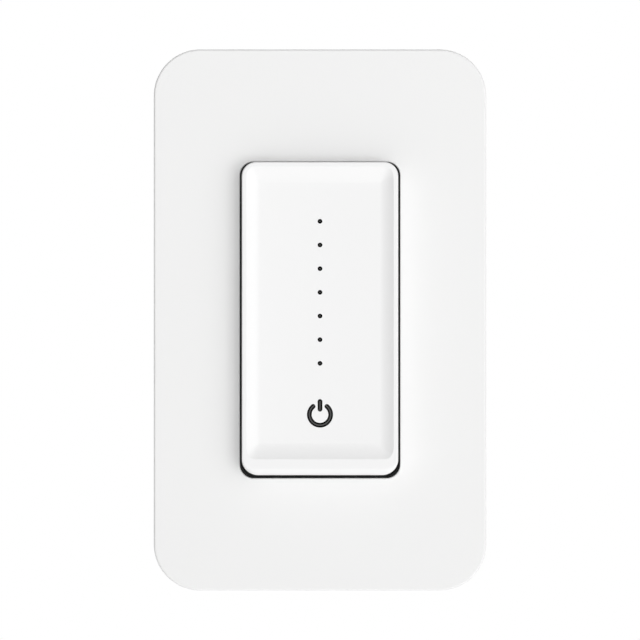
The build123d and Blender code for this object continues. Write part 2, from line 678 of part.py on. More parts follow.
def symbol(growth):
    """Power symbol: an open ring with a bar in its gap, made wider by a growth."""
    stroke = SYMBOL_STROKE + 2 * growth
    arc = CenterArc((0, symbol_z), SYMBOL_RADIUS, 90 + SYMBOL_GAP_ANGLE, 360 - 2 * SYMBOL_GAP_ANGLE)
    ring = SlotArc(arc, stroke)
    bar = SlotOverall(SYMBOL_BAR_LENGTH + 2 * growth, stroke, rotation=90)
    return ring + Pos(0, symbol_z + SYMBOL_BAR_RISE) * bar


def dot_places():
    return [top_dot_z - index * dot_pitch for index in range(DOT_COUNT)]


def side_profile():
    """Paddle seen from the side, with the rounded chin at its lower front edge."""
    base = Line((skirt_back, paddle_bottom), (paddle_front + PADDLE_CHIN_ROUND, paddle_bottom))
    chin = RadiusArc(base @ 1, (paddle_front, paddle_bottom + PADDLE_CHIN_ROUND), PADDLE_CHIN_ROUND)
    rest = Polyline(chin @ 1, (paddle_front, paddle_top), (skirt_back, paddle_top), base @ 0)
    return extrude(Plane.YZ.offset(-paddle_x) * make_face([base, chin, rest]), amount=2 * paddle_x)


def make_paddle():
    shell = slab(paddle_outline(0, 0), paddle_front, skirt_back)
    shell = fillet(shell.faces().sort_by(Axis.Y)[0].edges(), PADDLE_EDGE_ROUND)
    shell &= side_profile()
    shell -= slab(paddle_outline(PADDLE_WALL, PADDLE_WALL), paddle_inside, skirt_back)
    shell -= dish()
    shell -= slab(symbol(0), dish_floor, paddle_inside)
    shell -= [rod(0, z, DOT_RADIUS, dish_floor, paddle_inside) for z in dot_places()]
    pin_end = collar_out_x - PIN_END_GAP
    barb_reach, barb_depth = LATCH_BARB
    for side in SIDES:
        ear_x = side * (paddle_in_x + paddle_x) / 2
        shell += Pos(ear_x, pivot_y, pivot_z) * Rot(0, 90, 0) * Cylinder(PIVOT_EAR_RADIUS, PADDLE_WALL)
        shell += block(ear_x, pivot_z, PADDLE_WALL, 2 * PIVOT_EAR_RADIUS, skirt_back, pivot_y)
        pin_x = side * (paddle_x + pin_end) / 2
        shell += Pos(pin_x, pivot_y, pivot_z) * Rot(0, 90, 0) * Cylinder(PIVOT_RADIUS, pin_end - paddle_x)
        x = side * latch_x
        latch_back = shelf_back + LATCH_GAP + barb_depth
        barb_z = latch_z - (LATCH_THICKNESS + barb_reach) / 2
        shell += block(x, latch_z, LATCH_WIDTH, LATCH_THICKNESS, paddle_inside, latch_back)
        shell += block(x, barb_z, LATCH_WIDTH, barb_reach, latch_back - barb_depth, latch_back)
    shell += rod(0, switch_z, POST_RADIUS, paddle_inside, plunger_front - POST_GAP)
    peg_radius, peg_height = SPRING_PEG
    return shell + rod(0, spring_z, peg_radius, paddle_inside, paddle_inside + peg_height)


def make_dot_light_guide():
    places = dot_places()
    height = places[0] - places[-1] + GUIDE_WEB_WIDTH
    web = Pos(0, (places[0] + places[-1]) / 2) * SlotOverall(height, GUIDE_WEB_WIDTH, rotation=90)
    radius = DOT_RADIUS - GUIDE_CLEARANCE
    return slab(web, paddle_inside, guide_back) + [
        rod(0, z, radius, dish_floor + GUIDE_RECESS, paddle_inside) for z in places]


def make_power_light_guide():
    base = Pos(0, symbol_z) * Circle(SYMBOL_RADIUS + SYMBOL_STROKE / 2 + GUIDE_BASE_MARGIN)
    figure = slab(symbol(-GUIDE_CLEARANCE), dish_floor + GUIDE_RECESS, paddle_inside)
    return slab(base, paddle_inside, guide_back) + figure


def make_return_spring():
    height = flange_front - paddle_inside - 2 * SPRING_WIRE
    path = Helix(height / SPRING_TURNS, height, SPRING_RADIUS)
    wire = Plane(origin=path @ 0, z_dir=path % 0) * RegularPolygon(SPRING_WIRE, SPRING_WIRE_SIDES)
    coil = sweep(wire, path=path, is_frenet=True)
    return Pos(0, flange_front - SPRING_WIRE, spring_z) * Rot(90, 0, 0) * coil


def make_touch_board():
    outline = span(touch_bottom, touch_top, touch_x, BOARD_CORNER)
    outline -= Pos(0, switch_z) * Circle(TOUCH_POST_HOLE)
    for side in SIDES:
        for z in (lower_post_z, upper_post_z):
            outline -= Pos(side * board_post_x, z) * Circle(STAKE_RADIUS)
    return slab(outline, touch_front, touch_back)


def make_indicator_leds():
    width, height = LED_SIZE[:2]
    return group([block(0, z, width, height, led_front, touch_front) for z in dot_places()])


def make_power_led():
    return block(0, symbol_z, POWER_LED_SIZE, POWER_LED_SIZE, led_front, touch_front)


def make_touch_chip():
    width, height, depth = TOUCH_CHIP
    return block(0, upper_post_z - TOUCH_CHIP_DROP, width, height, touch_back, touch_back + depth)


def make_touch_link():
    x = touch_x - TOUCH_LINK_EDGE - TOUCH_LINK_SIZE[0] / 2
    return block(x, radio_z - TOUCH_LINK_DROP, *TOUCH_LINK_SIZE, touch_back, control_front)


def make_control_board():
    return slab(span(control_bottom, control_top, control_x, BOARD_CORNER), control_front, control_back)


def make_switch_body():
    front = control_front - SWITCH_HEIGHT
    outline = Pos(0, switch_z) * RectangleRounded(SWITCH_SIZE, SWITCH_SIZE, SWITCH_CORNER)
    bore = rod(0, switch_z, PLUNGER_RADIUS + PLUNGER_CLEARANCE, front, control_front - SWITCH_FLOOR)
    return slab(outline, front, control_front) - bore


def make_switch_plunger():
    return rod(0, switch_z, PLUNGER_RADIUS, plunger_front, plunger_back)


def make_control_chip():
    width, height, depth = CONTROL_CHIP
    x = CONTROL_CHIP_EDGE + width / 2 - control_x
    return block(x, switch_z + CONTROL_CHIP_RISE, width, height, control_front - depth, control_front)


def make_radio_board():
    width, height, depth = RADIO_BOARD
    return block(0, radio_z, width, height, control_front - depth, control_front)


def make_radio_shield():
    width, height, depth = RADIO_SHIELD
    back = control_front - RADIO_BOARD[2]
    can = block(0, radio_z - RADIO_SHIELD_DROP, width, height, back - depth, back)
    return fillet(can.faces().sort_by(Axis.Y)[0].edges(), COMPONENT_ROUND)


def make_power_link():
    return block(power_link_x, power_link_z, *POWER_LINK_SIZE, control_back, power_front)


def make_heat_spreader():
    outer_x = housing_x - HOUSING_WALL - SPREADER_SIDE_GAP
    inner_x = outer_x - SPREADER_THICKNESS
    middle_z = housing_screw_z - WELL_RADIUS - WELL_WALL - SPREADER_END
    channel = Pos(0, spreader_back / 2) * Rectangle(2 * outer_x, spreader_back)
    channel = fillet(channel.vertices().group_by(Axis.Y)[-1], SPREADER_THICKNESS)
    channel -= Pos(0, spreader_front / 2) * Rectangle(2 * inner_x, spreader_front)
    sheet = extrude(channel, amount=middle_z, both=True)
    thread = TAB_SCREW_RADIUS + SCREW_HOLE_CLEARANCE
    for side in SIDES:
        sheet -= rod(side * TRANSISTOR_PLACE[0], tab_hole_z(), thread, spreader_front, spreader_back)
    return sheet - power_link_slot(spreader_front, spreader_back)


def tab_hole_z():
    """Height of the hole in a transistor's metal tab."""
    return TRANSISTOR_PLACE[1] + (TRANSISTOR_BODY[1] + TRANSISTOR_TAB[1]) / 2


def make_insulating_pads():
    width, height, depth = PAD_SIZE
    hole = TAB_SCREW_RADIUS + SCREW_HOLE_CLEARANCE
    pads = []
    for side in SIDES:
        x = side * TRANSISTOR_PLACE[0]
        pad = block(x, pad_z, width, height, spreader_back, spreader_back + depth)
        pads.append(pad - rod(x, tab_hole_z(), hole, spreader_back, spreader_back + depth))
    return group(pads)


def make_dimming_transistors():
    front = spreader_back + PAD_SIZE[2]
    width, height, depth = TRANSISTOR_BODY
    tab_width, tab_height, tab_depth = TRANSISTOR_TAB
    lead_width, lead_depth = LEAD_SIZE
    z = TRANSISTOR_PLACE[1]
    lead_z = z - (height + LEAD_REACH) / 2
    bend_z = lead_z - (LEAD_REACH - lead_depth) / 2
    lead_front = front + depth * LEAD_DEPTH_SHARE
    transistors = []
    for side in SIDES:
        x = side * TRANSISTOR_PLACE[0]
        part = block(x, z, width, height, front, front + depth)
        part += block(x, tab_hole_z(), tab_width, tab_height, front, front + tab_depth)
        part -= rod(x, tab_hole_z(), TRANSISTOR_HOLE_RADIUS, front, front + tab_depth)
        for step in (-1, 0, 1):
            lead_x = x + step * LEAD_PITCH
            part += block(lead_x, lead_z, lead_width, LEAD_REACH, lead_front, lead_front + lead_depth)
            part += block(lead_x, bend_z, lead_width, lead_depth, lead_front, power_front)
        transistors.append(part)
    return group(transistors)


def make_transistor_screws():
    seat = spreader_back + PAD_SIZE[2] + TRANSISTOR_TAB[2]
    one = facing_rear(screw(TAB_SCREW_RADIUS, TAB_SCREW_LENGTH, TAB_SCREW_HEAD))
    return group([Pos(side * TRANSISTOR_PLACE[0], seat, tab_hole_z()) * one for side in SIDES])


def make_power_board():
    return slab(rounded(power_board_x, power_board_z, BOARD_CORNER), power_front, power_back)


def make_film_capacitor():
    width, height, depth = FILM_CAPACITOR
    x = COMPONENT_EDGE + width / 2 - power_board_x
    z = power_board_z - COMPONENT_EDGE - height / 2
    case = block(x, z, width, height, power_back, power_back + depth)
    return fillet(case.faces().sort_by(Axis.Y)[-1].edges(), COMPONENT_ROUND)


def make_bulk_capacitor():
    radius, depth = BULK_CAPACITOR
    groove, place, rounding = CAPACITOR_GROOVE
    x = power_board_x - COMPONENT_EDGE - radius
    z = power_board_z - COMPONENT_EDGE - radius
    crimp = [(radius, place), (radius - groove, place + groove), (radius, place + 2 * groove)]
    shoulder = [(radius, depth - rounding), (radius - rounding, depth)]
    outline = Polyline((0, 0), (radius, 0), *crimp, *shoulder, (0, depth), close=True)
    return Pos(x, power_back, z) * revolve(make_face(outline), Axis.Y)


def choke_axis():
    """Place of the choke, its ring flat on the board."""
    wrap = WINDING_GAP + WINDING_THICKNESS
    return Pos(COMPONENT_EDGE + middle_row / 2 - power_board_x, power_back + wrap, middle_row_z)


def make_choke_core():
    inner, outer = CHOKE_RADII
    section = Pos((inner + outer) / 2, CHOKE_HEIGHT / 2) * Rectangle(outer - inner, CHOKE_HEIGHT)
    return choke_axis() * revolve(section, Axis.Y)


def make_choke_winding():
    inner, outer = CHOKE_RADII
    width = outer - inner + 2 * WINDING_GAP
    height = CHOKE_HEIGHT + 2 * WINDING_GAP
    wrap = 2 * WINDING_THICKNESS
    section = Rectangle(width + wrap, height + wrap) - Rectangle(width, height)
    section = Pos((inner + outer) / 2, CHOKE_HEIGHT / 2) * section
    return choke_axis() * revolve(section, Axis.Y, WINDING_ANGLE)


def transformer_place():
    return power_board_x - COMPONENT_EDGE - TRANSFORMER_CORE[0] / 2, middle_row_z


def make_transformer_core():
    width, height, depth = TRANSFORMER_CORE
    window_width, window_depth = TRANSFORMER_WINDOW
    x, z = transformer_place()
    core = block(x, z, width, height, power_back, power_back + depth)
    front = power_back + (depth - window_depth) / 2
    for side in SIDES:
        window_x = x + side * (TRANSFORMER_LEG + window_width) / 2
        core -= block(window_x, z, window_width, height, front, front + window_depth)
    return core


def make_transformer_bobbin():
    width, height, depth = TRANSFORMER_CORE
    window_width, window_depth = TRANSFORMER_WINDOW
    x, z = transformer_place()
    front = power_back + (depth - window_depth) / 2 + BOBBIN_CLEARANCE
    back = front + window_depth - 2 * BOBBIN_CLEARANCE
    outer_width = TRANSFORMER_LEG + 2 * window_width - 2 * BOBBIN_CLEARANCE
    bobbin = block(x, z, outer_width, height + 2 * BOBBIN_WALL, front, back)
    hole = (TRANSFORMER_LEG + 2 * BOBBIN_CLEARANCE, height + 2 * BOBBIN_CLEARANCE)
    return bobbin - block(x, z, *hole, front, back)


def make_bridge_rectifier():
    width, height, depth = RECTIFIER
    x = COMPONENT_EDGE + width / 2 - power_board_x
    case = block(x, lower_row_z, width, height, power_back, power_back + depth)
    return fillet(case.faces().sort_by(Axis.Y)[-1].edges(), COMPONENT_ROUND)


def make_varistor():
    radius, thickness = VARISTOR
    return Pos(0, power_back + radius, lower_row_z) * Rot(0, 90, 0) * Cylinder(radius, thickness)


def make_fuse():
    radius, depth = FUSE
    x = power_board_x - COMPONENT_EDGE - radius
    can = rod(x, lower_row_z, radius, power_back, power_back + depth)
    return chamfer(can.faces().sort_by(Axis.Y)[-1].edges(), COMPONENT_ROUND)


def wire_bore(x, low, high):
    """Round passage for one wire, between two heights."""
    return Pos(x, wire_y, (low + high) / 2) * Cylinder(WIRE_BORE_RADIUS, high - low)


def make_terminal_cages():
    low = cage_z - CAGE_HEIGHT / 2
    high = cage_z + CAGE_HEIGHT / 2
    thread = TERMINAL_SCREW_RADIUS + SCREW_HOLE_CLEARANCE
    cages = []
    for x in terminal_places:
        outline = Pos(x, cage_z) * RectangleRounded(CAGE_WIDTH, CAGE_HEIGHT, CAGE_ROUND)
        cage = slab(outline, power_back, cage_back) - wire_bore(x, low, high)
        cages.append(cage - rod(x, cage_z, thread, wire_y, cage_back))
    return group(cages)


def make_terminal_screws():
    length = cage_back - wire_y - WIRE_BORE_RADIUS - TERMINAL_TIP_GAP
    one = facing_rear(screw(TERMINAL_SCREW_RADIUS, length, TERMINAL_SCREW_HEAD))
    return group([Pos(x, cage_back, cage_z) * one for x in terminal_places])


def housing_form(half_x, half_z, corner, step, low_back, high_back):
    """Stepped block: shallow below the step, where the terminals are, and deep above it."""
    outline = rounded(half_x, half_z, corner)
    upper = Pos(0, (step + half_z) / 2) * Rectangle(2 * half_x, half_z - step)
    return slab(outline, 0, low_back) + slab(outline & upper, low_back, high_back)


def label_recess():
    """Shallow field for the label on the deep part of the housing's rear."""
    height = housing_z - step_z - 2 * LABEL_MARGIN
    field = Pos(0, (housing_z + step_z) / 2) * RectangleRounded(
        2 * (housing_x - LABEL_MARGIN), height, LABEL_CORNER)
    return slab(field, housing_back - LABEL_RECESS, housing_back)


def grip_grooves():
    """Row of grooves on each side of the housing's deep part."""
    width, depth = GRIP_SIZE
    front_margin, back_margin = GRIP_MARGIN
    middle = (housing_z + step_z) / 2
    places = [middle + (index - (GRIP_COUNT - 1) / 2) * GRIP_PITCH for index in range(GRIP_COUNT)]
    return [block(side * (housing_x - depth / 2), z, depth, width, front_margin, housing_back - back_margin)
            for side in SIDES for z in places]


def make_rear_housing():
    shell = housing_form(housing_x, housing_z, HOUSING_CORNER, step_z, step_back, housing_back)
    shell = chamfer(shell.faces().sort_by(Axis.Y)[-1].edges(), HOUSING_EDGE_CHAMFER)
    form = shell
    inner = (housing_x - HOUSING_WALL, housing_z - HOUSING_WALL, HOUSING_CORNER - HOUSING_WALL)
    shell -= housing_form(*inner, step_z + HOUSING_WALL, step_inside, housing_inside)
    support_width, support_height = BOARD_SUPPORT
    support_x = power_board_x - support_width
    support_reach = housing_x - HOUSING_WALL - support_x
    duct_low = HOUSING_WALL - housing_z
    duct_high = cage_z - CAGE_HEIGHT / 2 - DUCT_GAP
    added = []
    for side in SIDES:
        middle = side * (support_x + housing_x - HOUSING_WALL) / 2
        for z in (board_support_low, (board_support_low + board_support_high) / 2, board_support_high):
            added.append(block(middle, z, support_reach, support_height, power_back, housing_inside))
    for x in terminal_places:
        duct = Cylinder(WIRE_BORE_RADIUS + DUCT_WALL, duct_high - duct_low)
        added.append(Pos(x, wire_y, (duct_low + duct_high) / 2) * duct)
    added += [rod(x * housing_screw_x, z * housing_screw_z, WELL_RADIUS + WELL_WALL, 0, housing_back)
              for x, z in CORNERS]
    shell += [piece & form for piece in added]
    for x in terminal_places:
        shell -= wire_bore(x, -housing_z, duct_high)
        window = TERMINAL_SCREW_HEAD[0] + TERMINAL_WINDOW_CLEARANCE
        shell -= rod(x, cage_z, window, step_inside, step_back)
    for x, z in CORNERS:
        shell -= rod(x * housing_screw_x, z * housing_screw_z, HOUSING_HOLE_RADIUS, 0, WELL_SEAT)
        shell -= rod(x * housing_screw_x, z * housing_screw_z, WELL_RADIUS, WELL_SEAT, housing_back)
    shell -= [label_recess()] + grip_grooves()
    low = DIVIDER_END - housing_z
    back = step_back + DIVIDER_HEIGHT
    for left, right in zip(terminal_places, terminal_places[1:]):
        shell += block((left + right) / 2, (low + step_z) / 2, DIVIDER_WIDTH, step_z - low, step_back, back)
    return shell


def make_housing_screws():
    tip = plate_inside + FRAME_BOSS_CLEARANCE + FRAME_BOSS_CAP + HOUSING_SCREW_END_GAP
    one = facing_rear(screw(HOUSING_SCREW_RADIUS, WELL_SEAT - tip, HOUSING_SCREW_HEAD))
    return group([Pos(x * housing_screw_x, WELL_SEAT, z * housing_screw_z) * one for x, z in CORNERS])


NODES = {
    "wall_plate": make_wall_plate,
    "sub_plate": make_sub_plate,
    "sub_plate_screws": make_sub_plate_screws,
    "mounting_strap": make_mounting_strap,
    "mounting_screws": make_mounting_screws,
    "screw_retainers": make_screw_retainers,
    "ground_screw": make_ground_screw,
    "front_frame": make_front_frame,
    "paddle": make_paddle,
    "dot_light_guide": make_dot_light_guide,
    "power_light_guide": make_power_light_guide,
    "return_spring": make_return_spring,
    "touch_board": make_touch_board,
    "indicator_leds": make_indicator_leds,
    "power_led": make_power_led,
    "touch_chip": make_touch_chip,
    "touch_link": make_touch_link,
    "control_board": make_control_board,
    "switch_body": make_switch_body,
    "switch_plunger": make_switch_plunger,
    "control_chip": make_control_chip,
    "radio_board": make_radio_board,
    "radio_shield": make_radio_shield,
    "power_link": make_power_link,
    "heat_spreader": make_heat_spreader,
    "insulating_pads": make_insulating_pads,
    "dimming_transistors": make_dimming_transistors,
    "transistor_screws": make_transistor_screws,
    "power_board": make_power_board,
    "film_capacitor": make_film_capacitor,
    "bulk_capacitor": make_bulk_capacitor,
    "choke_core": make_choke_core,
    "choke_winding": make_choke_winding,
    "transformer_core": make_transformer_core,
    "transformer_bobbin": make_transformer_bobbin,
    "bridge_rectifier": make_bridge_rectifier,
    "varistor": make_varistor,
    "fuse": make_fuse,
    "terminal_cages": make_terminal_cages,
    "terminal_screws": make_terminal_screws,
    "rear_housing": make_rear_housing,
    "housing_screws": make_housing_screws,
}

os.makedirs("parts", exist_ok=True)
for name, make in NODES.items():
    export_step(make(), f"parts/{name}.step")
travel_angle = degrees(PADDLE_TRAVEL / (pivot_z - paddle_bottom))
print(f"paddle travel: {travel_angle:.3f} degrees")
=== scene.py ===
import json
import math
from typing import NamedTuple

import bmesh
import bpy
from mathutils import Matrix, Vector
from mathutils.geometry import tessellate_polygon


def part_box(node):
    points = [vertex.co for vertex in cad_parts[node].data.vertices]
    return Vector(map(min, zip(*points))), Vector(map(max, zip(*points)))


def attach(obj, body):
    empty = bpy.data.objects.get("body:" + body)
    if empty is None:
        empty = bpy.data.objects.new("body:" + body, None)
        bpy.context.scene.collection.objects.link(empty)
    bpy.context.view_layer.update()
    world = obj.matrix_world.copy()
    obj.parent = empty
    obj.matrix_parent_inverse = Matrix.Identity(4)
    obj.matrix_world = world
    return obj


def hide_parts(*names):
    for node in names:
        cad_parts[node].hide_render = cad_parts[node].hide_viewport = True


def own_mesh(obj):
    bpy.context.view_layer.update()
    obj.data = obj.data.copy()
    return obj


# In-wall smart dimmer with a screwless wall plate. Lengths are in metres, and those that are written
# down are in millimetres times MM. Y points into the wall, so the front of a piece has the lowest Y.

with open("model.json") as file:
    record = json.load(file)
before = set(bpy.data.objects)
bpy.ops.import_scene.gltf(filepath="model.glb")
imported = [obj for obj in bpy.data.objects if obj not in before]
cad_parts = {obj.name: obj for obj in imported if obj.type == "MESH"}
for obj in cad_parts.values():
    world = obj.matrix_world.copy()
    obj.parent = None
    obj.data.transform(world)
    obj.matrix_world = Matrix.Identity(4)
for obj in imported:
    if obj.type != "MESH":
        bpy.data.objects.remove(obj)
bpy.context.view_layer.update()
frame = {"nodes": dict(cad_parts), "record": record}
scene = bpy.context.scene
MM = 0.001

# Wall plate
PLATE_CORNER = 9.8 * MM
PLATE_EDGE_ROUND = 0.45 * MM
PLATE_SIDE_WALL = 1.6 * MM
PLATE_FRONT_WALL = 1.8 * MM
OPENING_HALF_X = 16.95 * MM
OPENING_HALF_Z = 33.45 * MM
OPENING_CORNER = 2.9 * MM
OPENING_EDGE_ROUND = 0.22 * MM
RIB_WIDTH = 1.2 * MM
SIDE_RIB_X = 26.875 * MM
SIDE_RIB_LENGTH = 75.0 * MM
END_RIB_Z = 52.735 * MM
END_RIB_LENGTH = 35.475 * MM
RIB_DEPTH = 1.6 * MM
SNAP_DEPTH = 0.8 * MM
SNAP_LENGTH = 8.0 * MM
SNAP_REACH = 1.0 * MM
SNAP_PLAY = 0.2 * MM
SIDE_SNAP_Z = 30.0 * MM
END_SNAP_X = 14.0 * MM

# Paddle
PADDLE_HALF_X = 16.4 * MM
PADDLE_WALL = 1.2 * MM
PADDLE_TOP_CORNER = 3.0 * MM
PADDLE_BOTTOM_CORNER = 3.4 * MM
PADDLE_EDGE_ROUND = 0.3 * MM
PADDLE_CHIN_ROUND = 1.6 * MM
PADDLE_FACE_WALL = 1.85 * MM
SKIRT_BACK = -3.8 * MM
DISH_DEPTH = 0.95 * MM
DISH_RIM = 0.95 * MM
DISH_LIP = 3.4 * MM
DISH_SIDE_SLOPE = 2.8 * MM
DISH_CURVE = 1.6
DISH_TOP_SLOPE = 3.6 * MM
DISH_BOTTOM_SLOPE = 3.4 * MM
DISH_CORNER_POWER = 3.2
EAR_RADIUS = 1.6 * MM
PIN_RADIUS = 1.0 * MM
LATCH_X = 10.5 * MM
LATCH_Z = -27.2 * MM
LATCH_SIZE = (3.6 * MM, 1.0 * MM)
LATCH_BACK = -1.1 * MM
LATCH_BARB = (0.9 * MM, 0.6 * MM)
POST_RADIUS = 1.2 * MM
POST_Z = -13.6 * MM
POST_BACK = -5.25 * MM
PIVOT_DROP = 3.65 * MM
PIVOT_Y = -3.2 * MM
PEG_RADIUS = 1.5 * MM
PEG_Z = -27.4 * MM
PEG_HEIGHT = 1.4 * MM

# Black lips in front of the paddle's hinge pins, painted shade that darkens the gap round the paddle
COLLAR_SETBACK = 0.2 * MM
COLLAR_CLEARANCE = 0.15 * MM
LIP_CLEARANCE = 0.1 * MM
LIP_DEPTH = 0.5 * MM
LIP_HEIGHT = 4.2 * MM

# Dots and power symbol in the paddle's floor
DOT_RADIUS = 0.5 * MM
DOT_TOP_Z = 20.72 * MM
DOT_PITCH = 4.97 * MM
DOT_COUNT = 7
SYMBOL_Z = -19.85 * MM
SYMBOL_RADIUS = 2.24 * MM
SYMBOL_STROKE = 1.0 * MM
SYMBOL_GAP = math.radians(40)
SYMBOL_GAP_HALF = 0.7 * MM
SYMBOL_BAR_HALF = 0.825 * MM
SYMBOL_BAR_RISE = 1.93 * MM

# Screws: necks and drives, and shares of a head's radius or height, of the pitch and of the core's radius
NECK_RADIUS = 1.4 * MM
NECK_LENGTH = 2.0 * MM
THREAD_SHARE = 0.33
HEAD_FLAT_SHARE = 0.5
HEAD_CROWN_SHARE = 0.62
HEAD_RIM_SHARE = 0.42
TIP_TAPER_SHARE = 0.35
SLOT_WIDTH = 0.9 * MM
SLOT_DEPTH = 0.85 * MM
CROSS_SHARE = 1.24
CROSS_DEPTH = 1.1 * MM
HEAD_EDGE_SHARE = 0.1
HEAD_SEAT_SHARE = 0.97
NECK_TAPER = 0.3 * MM
SCREW_SEED = 4

# Return spring, with a closed turn at each end, and the turns of copper wire round the choke
SPRING_WIRE = 0.2 * MM
SPRING_TURNS = 5.5
CHOKE_TURNS = 15
CHOKE_SWEEP = math.radians(300)
CHOKE_WIRE = 0.44 * MM
CHOKE_LOOP = (2.0 * MM, 3.0 * MM)
CHOKE_SQUARENESS = 0.25

# Mesh fineness
CORNER_STEPS = 20
ROUND_STEPS = 8
DISH_STEPS = 18
DISH_LAST_SHARE = 0.02
HOLD = 0.06 * MM
CIRCLE_STEPS = 40
DOT_STEPS = 28
SYMBOL_STEPS = 48
SYMBOL_END_STEPS = 12
FLOOR_STEPS = 96
MERGE_DISTANCE = 0.0001 * MM
THREAD_STEPS = 20
LOOP_STEPS = 32
WIRE_STEPS = 10

# Finishes: sizes of their patterns in metres, and how far the patterns change tone, gloss or height
NOISE_ROUGHNESS = 0.55
DRIFT_SIZE = 22 * MM
# Reach of the painted light along the middle of the lens strokes and dots
PAINTED_LIGHT_REACH = 0.24 * MM
SPECK_SIZE = 0.2 * MM
SPECK_TONE = 0.2
SPECK_GLOSS = 0.05
LENS_REFLECTION = 0.05
TARNISH_SIZE = 4 * MM
TARNISH_EDGE = (0.35, 0.75)
TARNISH_TONE = 0.12
TARNISH_GLOSS = 0.15
LINE_GLOSS = 0.18
CHIP_SIZE = 0.9 * MM
CHIP_EDGE = (0.66, 0.74)
CHIP_GLOSS = 0.15
CHIP_RELIEF = 0.01 * MM
TRACE_PITCH = 2.2 * MM
TRACE_PLACE = 0.42
TRACE_EDGE = (0.03, 0.06)
TRACE_TONE = 0.6
TRACE_RELIEF = 0.03 * MM
MASK_ROUGHNESS = 0.35

# Camera: the picture's width at the front of the plate, and the distance to it
VIEW_WIDTH = 135.1 * MM
CAMERA_DISTANCE = 600 * MM
SENSOR_WIDTH = 36

# Light: strength from everywhere, and broad soft lights as a direction, a strength and how narrow it is
AMBIENT = 0.04
SOFT_LIGHTS = [((0.42, -0.86, -0.15), 2.15, 2), ((0, 1, 0.25), 0.9, 1)]
FLAG_EDGE = (0.1, 0.42)
KEY_PLACE = (0.55, -0.95, -0.15)
KEY_SIZE = 0.5
KEY_POWER = 1.4
REAR_PLACE = (-0.3, 0.6, 0.5)
REAR_SIZE = 0.5
REAR_POWER = 2.0

# Floor below the object
FLOOR_Z = -380 * MM
FLOOR_RADIUS = 900 * MM
FLOOR_GLOW = 0.8
FLOOR_FADE = (0.4, 0.97)
FLOOR_TONES = (0.86, 0.88)
FLOOR_GRAIN = 3 * MM


class Screw(NamedTuple):
    """One kind of screw in millimetres, its drive, its columns and rows, and where its head points."""

    head_radius: float
    head_height: float
    thread_radius: float
    length: float
    pitch: float
    slotted: bool
    crossed: bool
    grid: tuple
    to_rear: bool


SCREWS = {
    "sub_plate_screws": Screw(2.75, 1.4, 1.72, 6.6, 0.8, True, False, (1, 2), False),
    "mounting_screws": Screw(3.3, 2.1, 1.75, 25.4, 0.8, True, True, (1, 2), False),
    "ground_screw": Screw(3.3, 2.2, 1.9, 1.6, 0.8, True, True, (1, 1), True),
    "terminal_screws": Screw(2.9, 1.9, 1.7, 2.4, 0.75, True, True, (4, 1), True),
    "transistor_screws": Screw(2.6, 1.8, 1.5, 2.9, 0.5, False, True, (2, 1), True),
    "housing_screws": Screw(1.9, 1.7, 1.2, 9.9, 0.9, False, True, (2, 2), True),
}


class Wire:
    """A node's output that can be used in sums, each of which adds a Math node."""

    def __init__(self, graph, socket):
        self.graph = graph
        self.socket = socket

    def math(self, operation, *values, clamp=False):
        inputs = dict(enumerate(values))
        return self.graph.node("ShaderNodeMath", {"operation": operation, "use_clamp": clamp}, inputs)

    def __add__(self, other):
        return self.math("ADD", self, other)

    def __radd__(self, other):
        return self.math("ADD", other, self)

    def __sub__(self, other):
        return self.math("SUBTRACT", self, other)

    def __rsub__(self, other):
        return self.math("SUBTRACT", other, self)

    def __mul__(self, other):
        return self.math("MULTIPLY", self, other)

    def __rmul__(self, other):
        return self.math("MULTIPLY", other, self)

    def __truediv__(self, other):
        return self.math("DIVIDE", self, other)

    def __pow__(self, other):
        return self.math("POWER", self, other)

    def __abs__(self):
        return self.math("ABSOLUTE", self)

    def least(self, other):
        return self.math("MINIMUM", self, other)

    def most(self, other):
        return self.math("MAXIMUM", self, other)

    def between(self, low, high):
        """0 below low, 1 above high and smooth between them."""
        share = self.math("DIVIDE", self - low, high - low, clamp=True)
        return share * share * (3 - 2 * share)


class Graph:
    """A node tree of a material or the world."""

    def __init__(self, tree):
        self.tree = tree
        tree.nodes.clear()

    def node(self, kind, settings=None, inputs=None, output=0):
        made = self.tree.nodes.new(kind)
        for name, value in (settings or {}).items():
            setattr(made, name, value)
        for name, value in (inputs or {}).items():
            if isinstance(value, Wire):
                self.tree.links.new(value.socket, made.inputs[name])
            else:
                made.inputs[name].default_value = value
        return Wire(self, made.outputs[output]) if made.outputs else made

    def place(self, scale=(1, 1, 1)):
        """Object coordinates in metres, stretched along each axis."""
        coordinates = self.node("ShaderNodeTexCoord", output="Object")
        return self.node("ShaderNodeMapping", inputs={"Vector": coordinates, "Scale": scale})

    def axes(self):
        coordinates = self.node("ShaderNodeTexCoord", output="Object")
        split = self.node("ShaderNodeSeparateXYZ", inputs={"Vector": coordinates})
        return [Wire(self, split.socket.node.outputs[axis]) for axis in "XYZ"]

    def noise(self, size, detail=2.0, vector=None):
        """Noise from 0 to 1 whose features are about size metres wide."""
        vector = vector or self.place()
        values = {"Vector": vector, "Scale": 1 / size, "Detail": detail, "Roughness": NOISE_ROUGHNESS}
        return self.node("ShaderNodeTexNoise", inputs=values)

    def mix(self, factor, first, second):
        inputs = {"Factor": factor, 6: first, 7: second}
        return self.node("ShaderNodeMix", {"data_type": "RGBA"}, inputs, output=2)

    def bump(self, height, distance):
        return self.node("ShaderNodeBump", inputs={"Height": height, "Distance": distance, "Strength": 1.0})


def colour(red, green, blue):
    return red, green, blue, 1.0


BARE_METAL = colour(0.7, 0.68, 0.62)


def shade(base, factor):
    return colour(*[min(channel * factor, 1) for channel in base[:3]])


def material(name):
    made = bpy.data.materials.new(name)
    made.use_nodes = True
    graph = Graph(made.node_tree)
    graph.material = made
    return graph


